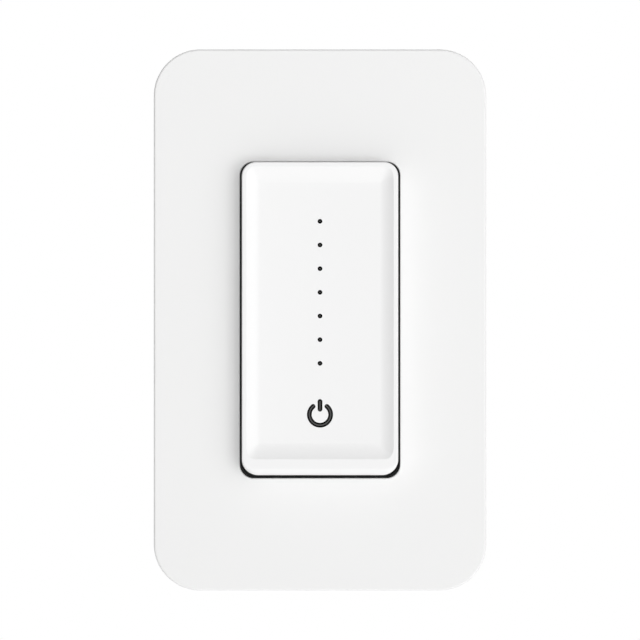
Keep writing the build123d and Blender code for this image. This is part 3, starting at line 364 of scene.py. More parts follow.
def finish(graph, **inputs):
    """Adds the surface shader with its inputs, named with underscores, and returns the material."""
    values = {name.replace("_", " "): value for name, value in inputs.items()}
    shader = graph.node("ShaderNodeBsdfPrincipled", inputs=values)
    graph.node("ShaderNodeOutputMaterial", inputs={"Surface": shader})
    return graph.material


def moulded(name, base, roughness, grain, relief, drift=0.03, gloss_drift=0.06, gloss=0.5):
    """Moulded plastic: fine grain in its surface, with slight drifts of tone and gloss."""
    graph = material(name)
    slow = graph.noise(DRIFT_SIZE, 3)
    fine = graph.noise(grain, 3)
    tone = graph.mix(slow, shade(base, 1 - drift), base)
    rough = roughness + (fine - 0.5) * gloss_drift + (slow - 0.5) * gloss_drift
    normal = graph.bump(fine, relief)
    return finish(graph, Base_Color=tone, Roughness=rough, Normal=normal, Specular_IOR_Level=gloss)


def smoked(name, base, painted_light, roughness):
    """Smoked clear plastic with painted light: a little lighter along the middle of each stroke and dot."""
    graph = material(name)
    x, _, z = graph.axes()
    rise = z - SYMBOL_Z
    in_gap = (SYMBOL_GAP_HALF - abs(x)).most(0) * rise.between(0.0, SYMBOL_STROKE)
    ring = abs((x * x + rise * rise) ** 0.5 - SYMBOL_RADIUS) + in_gap * SYMBOL_RADIUS / MM
    past_bar = (abs(rise - SYMBOL_BAR_RISE) - SYMBOL_BAR_HALF).most(0)
    bar = (x * x + past_bar * past_bar) ** 0.5
    step = (z - DOT_TOP_Z + 0.5 * DOT_PITCH) / DOT_PITCH
    along = (step - step.math("FLOOR", step) - 0.5) * DOT_PITCH
    dot = (x * x + along * along) ** 0.5
    edge = ring.least(bar).least(dot)
    # Painted light: the middle of each stroke and dot is given a lighter tone than its edge
    core = 1 - edge.between(0.0, PAINTED_LIGHT_REACH)
    speck = graph.noise(SPECK_SIZE)
    tone = graph.mix(core * (1 - SPECK_TONE + SPECK_TONE * speck), base, painted_light)
    rough = roughness + speck * SPECK_GLOSS
    return finish(graph, Base_Color=tone, Roughness=rough, Specular_IOR_Level=LENS_REFLECTION)


def metal(name, base, roughness, stretch, line_size, relief):
    """Metal with drawn or turned lines along one axis and a patchy tarnish."""
    graph = material(name)
    lines = graph.noise(line_size, 4, graph.place(stretch))
    patches = graph.noise(TARNISH_SIZE, 4)
    tone = graph.mix(patches.between(*TARNISH_EDGE), shade(base, 1 - TARNISH_TONE), base)
    rough = roughness + (lines - 0.5) * LINE_GLOSS + (patches - 0.5) * TARNISH_GLOSS
    return finish(graph, Base_Color=tone, Metallic=1.0, Roughness=rough, Normal=graph.bump(lines, relief))


def lacquered(name, base, roughness, wear):
    """Painted or lacquered metal, thin on high places."""
    graph = material(name)
    patches = graph.noise(CHIP_SIZE, 4)
    worn = patches.between(*CHIP_EDGE) * wear
    tone = graph.mix(worn, base, BARE_METAL)
    rough = roughness + patches * CHIP_GLOSS
    bump = graph.bump(patches, CHIP_RELIEF)
    return finish(graph, Base_Color=tone, Metallic=worn, Roughness=rough, Normal=bump)


def circuit_board(name, base, copper):
    """Solder mask over traces that run in steps."""
    graph = material(name)
    inputs = {"Vector": graph.place(), "Scale": 1 / TRACE_PITCH}
    cells = graph.node("ShaderNodeTexVoronoi", {"distance": "MANHATTAN", "feature": "F1"}, inputs)
    traces = 1 - abs(cells - TRACE_PLACE).between(*TRACE_EDGE)
    tone = graph.mix(traces * TRACE_TONE, base, copper)
    bump = graph.bump(traces, TRACE_RELIEF)
    return finish(graph, Base_Color=tone, Roughness=MASK_ROUGHNESS, Normal=bump)


def make_materials():
    """Every finish by its slot: numbers are roughness, size of grain or lines, relief, and drift or wear."""
    plate_white = colour(0.83, 0.83, 0.828)
    paddle_white = colour(0.85, 0.85, 0.85)
    adapter_white = colour(0.86, 0.86, 0.84)
    screw_white = colour(0.9, 0.9, 0.88)
    lamp_white = colour(0.9, 0.88, 0.75)
    pad_grey = colour(0.45, 0.47, 0.5)
    housing_grey = colour(0.04, 0.04, 0.043)
    ferrite_grey = colour(0.08, 0.08, 0.085)
    frame_black = colour(0.004, 0.004, 0.004)
    smoke_black = colour(0.001, 0.001, 0.001)
    # Painted light in the lens: the lighter tone along the middle of its strokes and dots
    smoke_painted_light = colour(0.1, 0.1, 0.1)
    chip_black = colour(0.03, 0.03, 0.032)
    sleeve_blue = colour(0.05, 0.06, 0.12)
    varistor_blue = colour(0.08, 0.2, 0.55)
    mask_green = colour(0.02, 0.2, 0.08)
    trace_green = colour(0.1, 0.34, 0.12)
    ground_green = colour(0.05, 0.36, 0.13)
    fibre_red = colour(0.42, 0.14, 0.07)
    tape_yellow = colour(0.85, 0.65, 0.15)
    film_amber = colour(0.75, 0.62, 0.2)
    aluminium = colour(0.77, 0.78, 0.79)
    zinc = colour(0.62, 0.62, 0.6)
    tin = colour(0.72, 0.72, 0.71)
    brass = colour(0.78, 0.6, 0.3)
    copper = colour(0.72, 0.38, 0.18)
    even = (1, 1, 1)
    rolled = (0.05, 1, 1)
    turned = (1, 0.1, 1)
    return {
        "plate_white": moulded(
            "satin_white_plate", plate_white, 0.62, 0.35 * MM, 0.006 * MM, 0.012, gloss=0.25),
        "paddle_white": moulded(
            "satin_white_paddle", paddle_white, 0.38, 0.3 * MM, 0.002 * MM, 0.006, gloss=0.4),
        "adapter_white": moulded("matt_white_adapter", adapter_white, 0.55, 0.5 * MM, 0.01 * MM),
        "frame_black": moulded("satin_black_frame", frame_black, 0.4, 0.3 * MM, 0.004 * MM, gloss=0.45),
        "housing_grey": moulded("spark_textured_housing", housing_grey, 0.55, 0.35 * MM, 0.05 * MM, 0.2),
        "strap_metal": metal("rolled_aluminium", aluminium, 0.34, rolled, 0.16 * MM, 0.004 * MM),
        "steel": metal("zinc_plated_steel", zinc, 0.3, even, 0.3 * MM, 0.004 * MM),
        "white_screw": lacquered("white_painted_screw", screw_white, 0.3, 0.2),
        "brass": metal("machined_brass", brass, 0.28, turned, 0.2 * MM, 0.004 * MM),
        "ground_green": lacquered("green_lacquered_screw", ground_green, 0.3, 0.7),
        "fibre": moulded("red_fibre", fibre_red, 0.7, 0.25 * MM, 0.02 * MM, 0.2),
        "smoke": smoked("smoked_lens", smoke_black, smoke_painted_light, 0.3),
        "board_green": circuit_board("green_circuit_board", mask_green, trace_green),
        "chip_black": moulded("moulded_black_case", chip_black, 0.5, 0.15 * MM, 0.006 * MM),
        "lamp": moulded("clear_lamp", lamp_white, 0.2, 0.4 * MM, 0.002 * MM),
        "shield": metal("tinned_shield", tin, 0.35, even, 0.5 * MM, 0.006 * MM),
        "pad_grey": moulded("silicone_pad", pad_grey, 0.8, 0.3 * MM, 0.01 * MM, 0.1),
        "ferrite": moulded("sintered_ferrite", ferrite_grey, 0.6, 0.3 * MM, 0.03 * MM, 0.2),
        "copper": metal("enamelled_copper", copper, 0.3, even, 0.4 * MM, 0.02 * MM),
        "tape_yellow": moulded("yellow_tape", tape_yellow, 0.35, 0.8 * MM, 0.02 * MM, 0.1),
        "capacitor_grey": moulded("film_capacitor_case", film_amber, 0.35, 0.5 * MM, 0.01 * MM, 0.08),
        "capacitor_sleeve": moulded("capacitor_sleeve", sleeve_blue, 0.3, 0.6 * MM, 0.01 * MM, 0.1),
        "varistor_blue": moulded("dipped_varistor", varistor_blue, 0.3, 0.9 * MM, 0.03 * MM, 0.1),
    }


def loop(half_x, low, high, top, bottom, power=2.0):
    """Outline with rounded corners, from the right side over the top to the left side and the bottom.

    top and bottom are the (x, z) reach of the upper and lower corners. It gives points and outward steps."""
    points = []
    outward = []
    for corner in range(4):
        side = 1 if corner in (0, 3) else -1
        reach_x, reach_z = top if corner < 2 else bottom
        centre_x = side * (half_x - reach_x)
        centre_z = high - reach_z if corner < 2 else low + reach_z
        for step in range(CORNER_STEPS + 1):
            angle = (corner + step / CORNER_STEPS) * math.pi / 2
            c = math.cos(angle)
            s = math.sin(angle)
            x = math.copysign(abs(c) ** (2 / power), c) * reach_x
            z = math.copysign(abs(s) ** (2 / power), s) * reach_z
            points.append((centre_x + x, centre_z + z))
            outward.append((c, s))
    return points, outward


def rectangle(half_x, half_z, corner):
    return loop(half_x, -half_z, half_z, (corner, corner), (corner, corner))[0]


def circle(x, z, radius, steps):
    turns = [2 * math.pi * step / steps for step in range(steps)]
    return [(x + radius * math.cos(turn), z + radius * math.sin(turn)) for turn in turns]


def arc(centre, radius, start, end, steps):
    turns = [start + (end - start) * step / steps for step in range(steps + 1)]
    return [(centre[0] + radius * math.cos(turn), centre[1] + radius * math.sin(turn)) for turn in turns]


class Shape:
    """Points and faces of one piece."""

    def __init__(self):
        self.points = []
        self.faces = []

    def ring(self, outline, y):
        """Adds an outline at a depth y, which may be one number or one for each point."""
        depths = y if isinstance(y, list) else [y] * len(outline)
        start = len(self.points)
        self.points += [(x, depth, z) for (x, z), depth in zip(outline, depths)]
        return list(range(start, len(self.points)))

    def skin(self, rings, wrap=False):
        """Walls from each ring to the next, and from the last to the first if wrap is set."""
        pairs = list(zip(rings, rings[1:] + rings[:1] if wrap else rings[1:]))
        for low, high in pairs:
            for index in range(len(low)):
                after = (index + 1) % len(low)
                self.faces.append((low[index], low[after], high[after], high[index]))

    def cap(self, *rings):
        """Flat face inside the first ring, with the other rings as holes in it."""
        numbers = [number for ring in rings for number in ring]
        flat = [[Vector(self.points[number]) for number in ring] for ring in rings]
        self.faces += [tuple(numbers[k] for k in triangle) for triangle in tessellate_polygon(flat)]

    def prism(self, outline, front, back):
        """Closed solid between two depths."""
        rings = [self.ring(outline, front), self.ring(outline, back)]
        self.skin(rings)
        for ring in rings:
            self.cap(ring)

    def bar(self, x, z, width, height, front, back):
        left = x - width / 2
        right = x + width / 2
        low = z - height / 2
        high = z + height / 2
        self.prism([(right, low), (right, high), (left, high), (left, low)], front, back)

    def rod(self, x, z, radius, front, back):
        self.prism(circle(x, z, radius, CIRCLE_STEPS), front, back)

    def pin(self, y, z, radius, left, right):
        """Round solid along X between two places."""
        start = len(self.points)
        self.rod(y, z, radius, left, right)
        self.points[start:] = [(depth, across, up) for across, depth, up in self.points[start:]]

    def blank(self, name):
        """Makes the object, closed and with its faces turned outwards."""
        mesh = bpy.data.meshes.new(name)
        mesh.from_pydata(self.points, [], self.faces)
        work = bmesh.new()
        work.from_mesh(mesh)
        bmesh.ops.remove_doubles(work, verts=work.verts, dist=MERGE_DISTANCE)
        bmesh.ops.recalc_face_normals(work, faces=work.faces)
        work.to_mesh(mesh)
        work.free()
        made = bpy.data.objects.new(name, mesh)
        scene.collection.objects.link(made)
        return made

    def piece(self, name, body, slot, sharp=35):
        """Makes the object, rides it on its body and gives it its finish."""
        return dress(self.blank(name), body, slot, sharp)


def dress(made, body, slot, sharp=35):
    made.data.shade_smooth()
    made.data.set_sharp_from_angle(angle=math.radians(sharp))
    made.data.materials.clear()
    made.data.materials.append(finishes[slot])
    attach(made, body)
    return made


def make_wall_plate():
    low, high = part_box("wall_plate")
    half_x = high.x
    half_z = high.z
    front = low.y
    inside = front + PLATE_FRONT_WALL
    shape = Shape()
    rings = [shape.ring(rectangle(half_x, half_z, PLATE_CORNER), 0.0)]
    for step in range(ROUND_STEPS + 1):
        turn = math.pi / 2 * step / ROUND_STEPS
        inset = PLATE_EDGE_ROUND * (1 - math.cos(turn))
        y = front + PLATE_EDGE_ROUND * (1 - math.sin(turn))
        rings.append(shape.ring(rectangle(half_x - inset, half_z - inset, PLATE_CORNER - inset), y))
    inset = PLATE_EDGE_ROUND + HOLD
    rings.append(shape.ring(rectangle(half_x - inset, half_z - inset, PLATE_CORNER - inset), front))
    grow = OPENING_EDGE_ROUND + HOLD
    opening = (OPENING_HALF_X, OPENING_HALF_Z, OPENING_CORNER)
    rings.append(shape.ring(rectangle(*[size + grow for size in opening]), front))
    for step in range(ROUND_STEPS + 1):
        turn = math.pi / 2 * step / ROUND_STEPS
        grow = OPENING_EDGE_ROUND * (1 - math.sin(turn))
        y = front + OPENING_EDGE_ROUND * (1 - math.cos(turn))
        rings.append(shape.ring(rectangle(*[size + grow for size in opening]), y))
    rings.append(shape.ring(rectangle(*opening), inside))
    inner = [half_x - PLATE_SIDE_WALL, half_z - PLATE_SIDE_WALL, PLATE_CORNER - PLATE_SIDE_WALL]
    rings.append(shape.ring(rectangle(*inner), inside))
    rings.append(shape.ring(rectangle(*inner), 0.0))
    shape.skin(rings, wrap=True)
    rib_back = inside + RIB_DEPTH
    snap_front = rib_back + SNAP_DEPTH + SNAP_PLAY
    for side in (-1, 1):
        shape.bar(side * SIDE_RIB_X, 0, RIB_WIDTH, SIDE_RIB_LENGTH, inside - HOLD, rib_back)
        shape.bar(0, side * END_RIB_Z, END_RIB_LENGTH, RIB_WIDTH, inside - HOLD, rib_back)
        for end in (-1, 1):
            x = side * (inner[0] - SNAP_REACH / 2 + HOLD)
            z = end * (inner[1] - SNAP_REACH / 2 + HOLD)
            shape.bar(x, end * SIDE_SNAP_Z, SNAP_REACH, SNAP_LENGTH, snap_front, snap_front + SNAP_DEPTH)
            shape.bar(side * END_SNAP_X, z, SNAP_LENGTH, SNAP_REACH, snap_front, snap_front + SNAP_DEPTH)
    plate = shape.piece("wall_plate_shell", "device", "plate_white")
    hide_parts("wall_plate")


def dot_places():
    return [DOT_TOP_Z - index * DOT_PITCH for index in range(DOT_COUNT)]


def symbol_outlines():
    """Outlines of the open ring and of the bar in its gap."""
    centre = (0, SYMBOL_Z)
    half = SYMBOL_STROKE / 2
    start = math.pi / 2 + SYMBOL_GAP
    end = math.pi * 5 / 2 - SYMBOL_GAP
    first = (SYMBOL_RADIUS * math.cos(start), SYMBOL_Z + SYMBOL_RADIUS * math.sin(start))
    last = (SYMBOL_RADIUS * math.cos(end), SYMBOL_Z + SYMBOL_RADIUS * math.sin(end))
    ring = arc(centre, SYMBOL_RADIUS + half, start, end, SYMBOL_STEPS)
    ring += arc(last, half, end, end + math.pi, SYMBOL_END_STEPS)[1:-1]
    ring += arc(centre, SYMBOL_RADIUS - half, end, start, SYMBOL_STEPS)
    ring += arc(first, half, start + math.pi, start + 2 * math.pi, SYMBOL_END_STEPS)[1:-1]
    top = SYMBOL_Z + SYMBOL_BAR_RISE + SYMBOL_BAR_HALF
    bottom = SYMBOL_Z + SYMBOL_BAR_RISE - SYMBOL_BAR_HALF
    bar = arc((0, top), half, 0, math.pi, SYMBOL_END_STEPS)
    bar += arc((0, bottom), half, math.pi, 2 * math.pi, SYMBOL_END_STEPS)
    return [ring, bar]


def make_paddle():
    low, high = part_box("paddle")
    front = low.y
    floor = front + DISH_DEPTH
    inside = floor + PADDLE_FACE_WALL
    upper = (PADDLE_TOP_CORNER, PADDLE_TOP_CORNER)
    lower = (PADDLE_BOTTOM_CORNER, PADDLE_BOTTOM_CORNER)
    edge, outward = loop(PADDLE_HALF_X, low.z, high.z, upper, lower)
    chin = PADDLE_CHIN_ROUND - PADDLE_EDGE_ROUND
    radii = [PADDLE_EDGE_ROUND + chin * max(0, -step[1]) ** 2 for step in outward]
    shape = Shape()
    rings = [shape.ring(edge, SKIRT_BACK)]
    for step in range(ROUND_STEPS + 2):
        turn = math.pi / 2 * min(step, ROUND_STEPS) / ROUND_STEPS
        hold = HOLD if step > ROUND_STEPS else 0
        insets = [radius * (1 - math.cos(turn)) + hold for radius in radii]
        depths = [front + radius * (1 - math.sin(turn)) for radius in radii]
        outline = [(x - c * inset, z - s * inset) for (x, z), (c, s), inset in zip(edge, outward, insets)]
        rings.append(shape.ring(outline, depths))
    rim_x = PADDLE_HALF_X - DISH_RIM
    rim_low = low.z + DISH_LIP
    rim_high = high.z - DISH_RIM
    shares = [1 - step / DISH_STEPS for step in range(DISH_STEPS)] + [DISH_LAST_SHARE]
    for share in shares:
        short = 1 - share
        half_x = rim_x - DISH_SIDE_SLOPE * short
        dish_low = rim_low + DISH_BOTTOM_SLOPE * short
        dish_high = rim_high - DISH_TOP_SLOPE * short
        upper = (DISH_SIDE_SLOPE * share, DISH_TOP_SLOPE * share)
        lower = (DISH_SIDE_SLOPE * share, DISH_BOTTOM_SLOPE * share)
        outline = loop(half_x, dish_low, dish_high, upper, lower, DISH_CORNER_POWER)[0]
        rings.append(shape.ring(outline, floor - DISH_DEPTH * share ** DISH_CURVE))
    holes = [circle(0, z, DOT_RADIUS, DOT_STEPS) for z in dot_places()] + symbol_outlines()
    front_holes = [shape.ring(outline, floor) for outline in holes]
    back_holes = [shape.ring(outline, inside) for outline in holes]
    shape.skin(rings)
    shape.cap(rings[-1], *front_holes)
    for pair in zip(front_holes, back_holes):
        shape.skin(list(pair))
    wall = PADDLE_WALL
    upper = (PADDLE_TOP_CORNER - wall, PADDLE_TOP_CORNER - wall)
    lower = (PADDLE_BOTTOM_CORNER - wall, PADDLE_BOTTOM_CORNER - wall)
    hollow = loop(PADDLE_HALF_X - wall, low.z + wall, high.z - wall, upper, lower)[0]
    inner = [shape.ring(hollow, inside), shape.ring(hollow, SKIRT_BACK)]
    shape.cap(inner[0], *back_holes)
    shape.skin(inner + [rings[0]])
    pivot_z = high.z - PIVOT_DROP
    for side in (-1, 1):
        ear = sorted((side * (PADDLE_HALF_X - wall), side * (PADDLE_HALF_X - HOLD)))
        shape.pin(PIVOT_Y, pivot_z, EAR_RADIUS, *ear)
        pin = sorted((side * (PADDLE_HALF_X - wall / 2), side * high.x))
        shape.pin(PIVOT_Y, pivot_z, PIN_RADIUS, *pin)
        latch = side * LATCH_X
        barb_z = LATCH_Z - (LATCH_SIZE[1] + LATCH_BARB[0]) / 2
        shape.bar(latch, LATCH_Z, *LATCH_SIZE, inside - HOLD, LATCH_BACK)
        shape.bar(latch, barb_z, LATCH_SIZE[0], LATCH_BARB[0], LATCH_BACK - LATCH_BARB[1], LATCH_BACK)
    shape.rod(0, POST_Z, POST_RADIUS, inside - HOLD, POST_BACK)
    shape.rod(0, PEG_Z, PEG_RADIUS, inside - HOLD, inside + PEG_HEIGHT)
    paddle = shape.piece("paddle_shell", "paddle", "paddle_white", sharp=20)
    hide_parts("paddle")


def make_painted_shade_lips():
    """Black lips on the frame's collar, painted shade: they hide the hinge pins and keep the gap round the
    paddle dark.
    """
    front = cad_front + PLATE_FRONT_WALL + COLLAR_CLEARANCE
    inner = PADDLE_HALF_X + LIP_CLEARANCE
    outer = OPENING_HALF_X + COLLAR_SETBACK + HOLD
    pivot_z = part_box("paddle")[1].z - PIVOT_DROP
    shape = Shape()
    for side in (-1, 1):
        shape.bar(side * (inner + outer) / 2, pivot_z, outer - inner, LIP_HEIGHT, front, front + LIP_DEPTH)
    # Painted shade: black lips that make the gap round the paddle dark
    shape.piece("pivot_lips", "device", "frame_black")


class Growth(Graph):
    """Geometry Nodes tree: named inputs at its start, real geometry with its finish at its end."""

    def __init__(self, name, **kinds):
        super().__init__(bpy.data.node_groups.new(name, "GeometryNodeTree"))
        sockets = self.tree.interface
        sockets.new_socket("Geometry", in_out="INPUT", socket_type="NodeSocketGeometry")
        sockets.new_socket("Result", in_out="OUTPUT", socket_type="NodeSocketGeometry")
        for label, kind in kinds.items():
            sockets.new_socket(label, in_out="INPUT", socket_type="NodeSocket" + kind)
        sockets.new_socket("Finish", in_out="INPUT", socket_type="NodeSocketMaterial")
        enter = self.node("NodeGroupInput").socket.node
        self.given = {socket.name: Wire(self, socket) for socket in enter.outputs if socket.name}

    def vector(self, x, y, z):
        return self.node("ShaderNodeCombineXYZ", inputs={"X": x, "Y": y, "Z": z})

    def random(self, least, most, seed):
        """A number for each point."""
        inputs = {2: least, 3: most, "Seed": seed}
        return self.node("FunctionNodeRandomValue", {"data_type": "FLOAT"}, inputs, output=1)

    def round_wire(self, x, y, z, points, radius):
        """Closed round wire through the places that x, y and z give along its length."""
        line = self.node("GeometryNodeCurvePrimitiveLine")
        fine = self.node("GeometryNodeResampleCurve", inputs={"Curve": line, "Count": points})
        placing = {"Geometry": fine, "Position": self.vector(x, y, z)}
        bent = self.node("GeometryNodeSetPosition", inputs=placing)
        size = {"Resolution": WIRE_STEPS, "Radius": radius}
        section = self.node("GeometryNodeCurvePrimitiveCircle", inputs=size)
        sweep = {"Curve": bent, "Profile Curve": section, "Fill Caps": True}
        return self.node("GeometryNodeCurveToMesh", inputs=sweep)

    def end(self, geometry):
        whole = self.node("GeometryNodeRealizeInstances", inputs={"Geometry": geometry})
        dressing = {"Geometry": whole, "Material": self.given["Finish"]}
        self.node("NodeGroupOutput", inputs={"Result": self.node("GeometryNodeSetMaterial", inputs=dressing)})

    def grow(self, name, places, **values):
        """Runs the tree on points at the given places and returns what it makes as a plain mesh."""
        mesh = bpy.data.meshes.new(name)
        mesh.from_pydata(places, [], [])
        seed = bpy.data.objects.new(name, mesh)
        scene.collection.objects.link(seed)
        details = seed.modifiers.new("details", "NODES")
        details.node_group = self.tree
        for item in self.tree.interface.items_tree:
            if item.name in values:
                details[item.identifier] = values[item.name]
        grown = bpy.data.meshes.new_from_object(seed.evaluated_get(bpy.context.evaluated_depsgraph_get()))
        bpy.data.objects.remove(seed)
        made = bpy.data.objects.new(name, grown)
        scene.collection.objects.link(made)
        return made


def plan_screws():
    """Threads a turned blank, cuts its drive and sets it on each place, turned as it was driven home."""
    kinds = dict(Blank="Object", Core="Float", Ridge="Float", Start="Float", Length="Float", Pitch="Float")
    kinds.update(Top="Float", Reach="Float", Slotted="Bool", Crossed="Bool", Facing="Float", Seed="Int")
    plan = Growth("threaded_screws", **kinds)
    given = plan.given
    body = plan.node("GeometryNodeObjectInfo", inputs={"Object": given["Blank"]}, output="Geometry")
    cuts = [("Slotted", 1, SLOT_DEPTH, 0), ("Crossed", CROSS_SHARE / 2, CROSS_DEPTH, 0)]
    cuts += [("Crossed", CROSS_SHARE / 2, CROSS_DEPTH, math.pi / 2)]
    for wanted, share, depth, angle in cuts:
        size = plan.vector(given["Reach"] * share, 2 * depth, SLOT_WIDTH)
        block = plan.node("GeometryNodeMeshCube", inputs={"Size": size})
        top = plan.vector(0, given["Top"], 0)
        placing = {"Geometry": block, "Translation": top, "Rotation": (0, angle, 0)}
        block = plan.node("GeometryNodeTransform", inputs=placing)
        cutting = {"operation": "DIFFERENCE", "solver": "EXACT"}
        cut = plan.node("GeometryNodeMeshBoolean", cutting, {"Mesh 1": body, "Mesh 2": block})
        choice = {"Switch": given[wanted], "False": body, "True": cut}
        body = plan.node("GeometryNodeSwitch", {"input_type": "GEOMETRY"}, choice)
    winding = {"Resolution": THREAD_STEPS, "Rotations": given["Length"] / given["Pitch"]}
    winding.update({"Height": given["Length"], "Start Radius": given["Core"], "End Radius": given["Core"]})
    spiral = plan.node("GeometryNodeCurveSpiral", inputs=winding)
    ridge = plan.node("GeometryNodeCurvePrimitiveCircle", inputs={"Resolution": 4, "Radius": given["Ridge"]})
    sweep = {"Curve": spiral, "Profile Curve": ridge, "Fill Caps": True}
    thread = plan.node("GeometryNodeCurveToMesh", inputs=sweep)
    placing = {"Geometry": thread, "Translation": plan.vector(0, given["Start"], 0)}
    placing["Rotation"] = (-math.pi / 2, 0, 0)
    thread = plan.node("GeometryNodeTransform", inputs=placing)
    screw = plan.node("GeometryNodeJoinGeometry", inputs={"Geometry": body})
    plan.tree.links.new(thread.socket, screw.socket.node.inputs["Geometry"])
    turn = plan.random(0.0, math.pi, given["Seed"])
    facing = plan.vector(given["Facing"], turn, 0)
    setting = {"Points": given["Geometry"], "Instance": screw, "Rotation": facing}
    plan.end(plan.node("GeometryNodeInstanceOnPoints", inputs=setting))
    return plan


def turned_blank(screw, core, neck):
    """Head and shank of a screw along Y: the seat is at 0, the head below it and the shank above it."""
    radius = screw.head_radius * MM
    height = screw.head_height * MM
    length = screw.length * MM
    rim = HEAD_RIM_SHARE * height
    profile = [(HEAD_FLAT_SHARE * radius, -height)]
    for step in range(ROUND_STEPS + 1):
        turn = math.pi / 2 * step / ROUND_STEPS
        share = HEAD_CROWN_SHARE + (1 - HEAD_CROWN_SHARE) * math.sin(turn)
        profile.append((radius * share, -rim - (height - rim) * math.cos(turn)))
    profile += [(radius, -HEAD_EDGE_SHARE * height), (HEAD_SEAT_SHARE * radius, 0.0)]
    if neck:
        profile += [(NECK_RADIUS, 0.0), (NECK_RADIUS, neck), (core, neck + NECK_TAPER)]
    else:
        profile.append((core, 0.0))
    profile += [(core, length - TIP_TAPER_SHARE * core), (2 * TIP_TAPER_SHARE * core, length)]
    shape = Shape()
    rings = [shape.ring(circle(0, 0, across, CIRCLE_STEPS), y) for across, y in profile]
    shape.skin(rings)
    shape.cap(rings[0])
    shape.cap(rings[-1])
    return shape.blank("blank")


def seats(node, screw):
    """Places under the heads of a node's screws, spread evenly over its columns and rows."""
    low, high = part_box(node)
    reach = screw.head_radius * MM
    y = high.y - screw.head_height * MM if screw.to_rear else low.y + screw.head_height * MM
    spread = []
    for start, end, count in ((low.x, high.x, screw.grid[0]), (low.z, high.z, screw.grid[1])):
        if count == 1:
            spread.append([(start + end) / 2])
        else:
            step = (end - start - 2 * reach) / (count - 1)
            spread.append([start + reach + step * index for index in range(count)])
    return [(x, y, z) for x in spread[0] for z in spread[1]]


def make_screws():
    plan = plan_screws()
    for index, (node, screw) in enumerate(SCREWS.items()):
        neck = NECK_LENGTH if node == "mounting_screws" else 0.0
        ridge = THREAD_SHARE * screw.pitch * MM
        core = screw.thread_radius * MM - ridge
        start = neck + ridge
        blank = turned_blank(screw, core, neck)
        values = dict(Blank=blank, Core=core, Ridge=ridge, Start=start, Pitch=screw.pitch * MM)
        values["Length"] = screw.length * MM - start - TIP_TAPER_SHARE * core
        values.update(Top=-screw.head_height * MM, Reach=2 * screw.head_radius * MM + HOLD)
        values.update(Slotted=screw.slotted, Crossed=screw.crossed, Facing=math.pi if screw.to_rear else 0.0)
        values.update(Seed=SCREW_SEED + index, Finish=finishes[slots[node]])
        made = plan.grow(node + "_turned", seats(node, screw), **values)
        bpy.data.objects.remove(blank)
        dress(made, "device", slots[node], sharp=30)
        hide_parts(node)


def make_return_spring():
    """Coil of round wire, made at one fixed height; in the real switch the paddle flattens it towards the
    frame when pressed.
    """
    low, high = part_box("return_spring")
    plan = Growth("return_spring", Turns="Float", Radius="Float", Wire="Float", Height="Float")
    given = plan.given
    turns = plan.node("GeometryNodeSplineParameter", output="Factor") * given["Turns"]
    angle = turns * (2 * math.pi)
    closed = turns.least(1) + (turns - given["Turns"] + 1).most(0)
    open_turns = (turns - 1).most(0).least(given["Turns"] - 2)
    free = (given["Height"] - 6 * given["Wire"]) / (given["Turns"] - 2)
    rise = closed * given["Wire"] * 2 + open_turns * free
    x = given["Radius"] * angle.math("COSINE", angle)
    z = given["Radius"] * angle.math("SINE", angle)
    middle_z = (low.z + high.z) / 2
    points = int(SPRING_TURNS * LOOP_STEPS)
    wire = plan.round_wire(x, rise + (low.y + SPRING_WIRE), z + middle_z, points, given["Wire"])
    plan.end(wire)
    radius = (high.x - low.x) / 2 - SPRING_WIRE
    values = dict(Turns=SPRING_TURNS, Radius=radius, Wire=SPRING_WIRE, Height=high.y - low.y)
    spring = plan.grow("return_spring_coil", [], Finish=finishes["steel"], **values)
    dress(spring, "device", "steel")
    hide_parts("return_spring")
    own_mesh(spring)


def make_choke_winding():
    """Turns of enamelled wire round the choke's ring."""
    low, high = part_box("choke_winding")
    middle = (low + high) / 2
    plan = Growth("choke_winding", Turns="Float", Sweep="Float", Ring="Float", Wire="Float")
    given = plan.given
    share = plan.node("GeometryNodeSplineParameter", output="Factor")
    angle = share * given["Turns"] * (2 * math.pi)
    loop_parts = []
    for function, half in zip(("COSINE", "SINE"), CHOKE_LOOP):
        part = angle.math(function, angle)
        loop_parts.append(part.math("SIGN", part) * abs(part) ** CHOKE_SQUARENESS * half)
    across, along = loop_parts
    margin = math.atan2(CHOKE_WIRE, high.x - middle.x - CHOKE_WIRE - 2 * CHOKE_LOOP[0])
    around = share * (given["Sweep"] - 2 * margin) + margin
    radius = given["Ring"] + across
    x = radius * around.math("COSINE", around) + middle.x
    z = middle.z - radius * around.math("SINE", around)
    points = CHOKE_TURNS * LOOP_STEPS
    plan.end(plan.round_wire(x, along + middle.y, z, points, given["Wire"]))
    ring = high.x - middle.x - CHOKE_WIRE - CHOKE_LOOP[0]
    values = dict(Turns=CHOKE_TURNS, Sweep=CHOKE_SWEEP, Ring=ring, Wire=CHOKE_WIRE)
    winding = plan.grow("choke_winding_turns", [], Finish=finishes["copper"], **values)
    dress(winding, "device", "copper")
    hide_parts("choke_winding")


def dress_solids():
    """Gives every solid that stays its finish."""
    for node, slot in slots.items():
        solid = frame["nodes"][node]
        solid.data.materials.clear()
        solid.data.materials.append(finishes[slot])


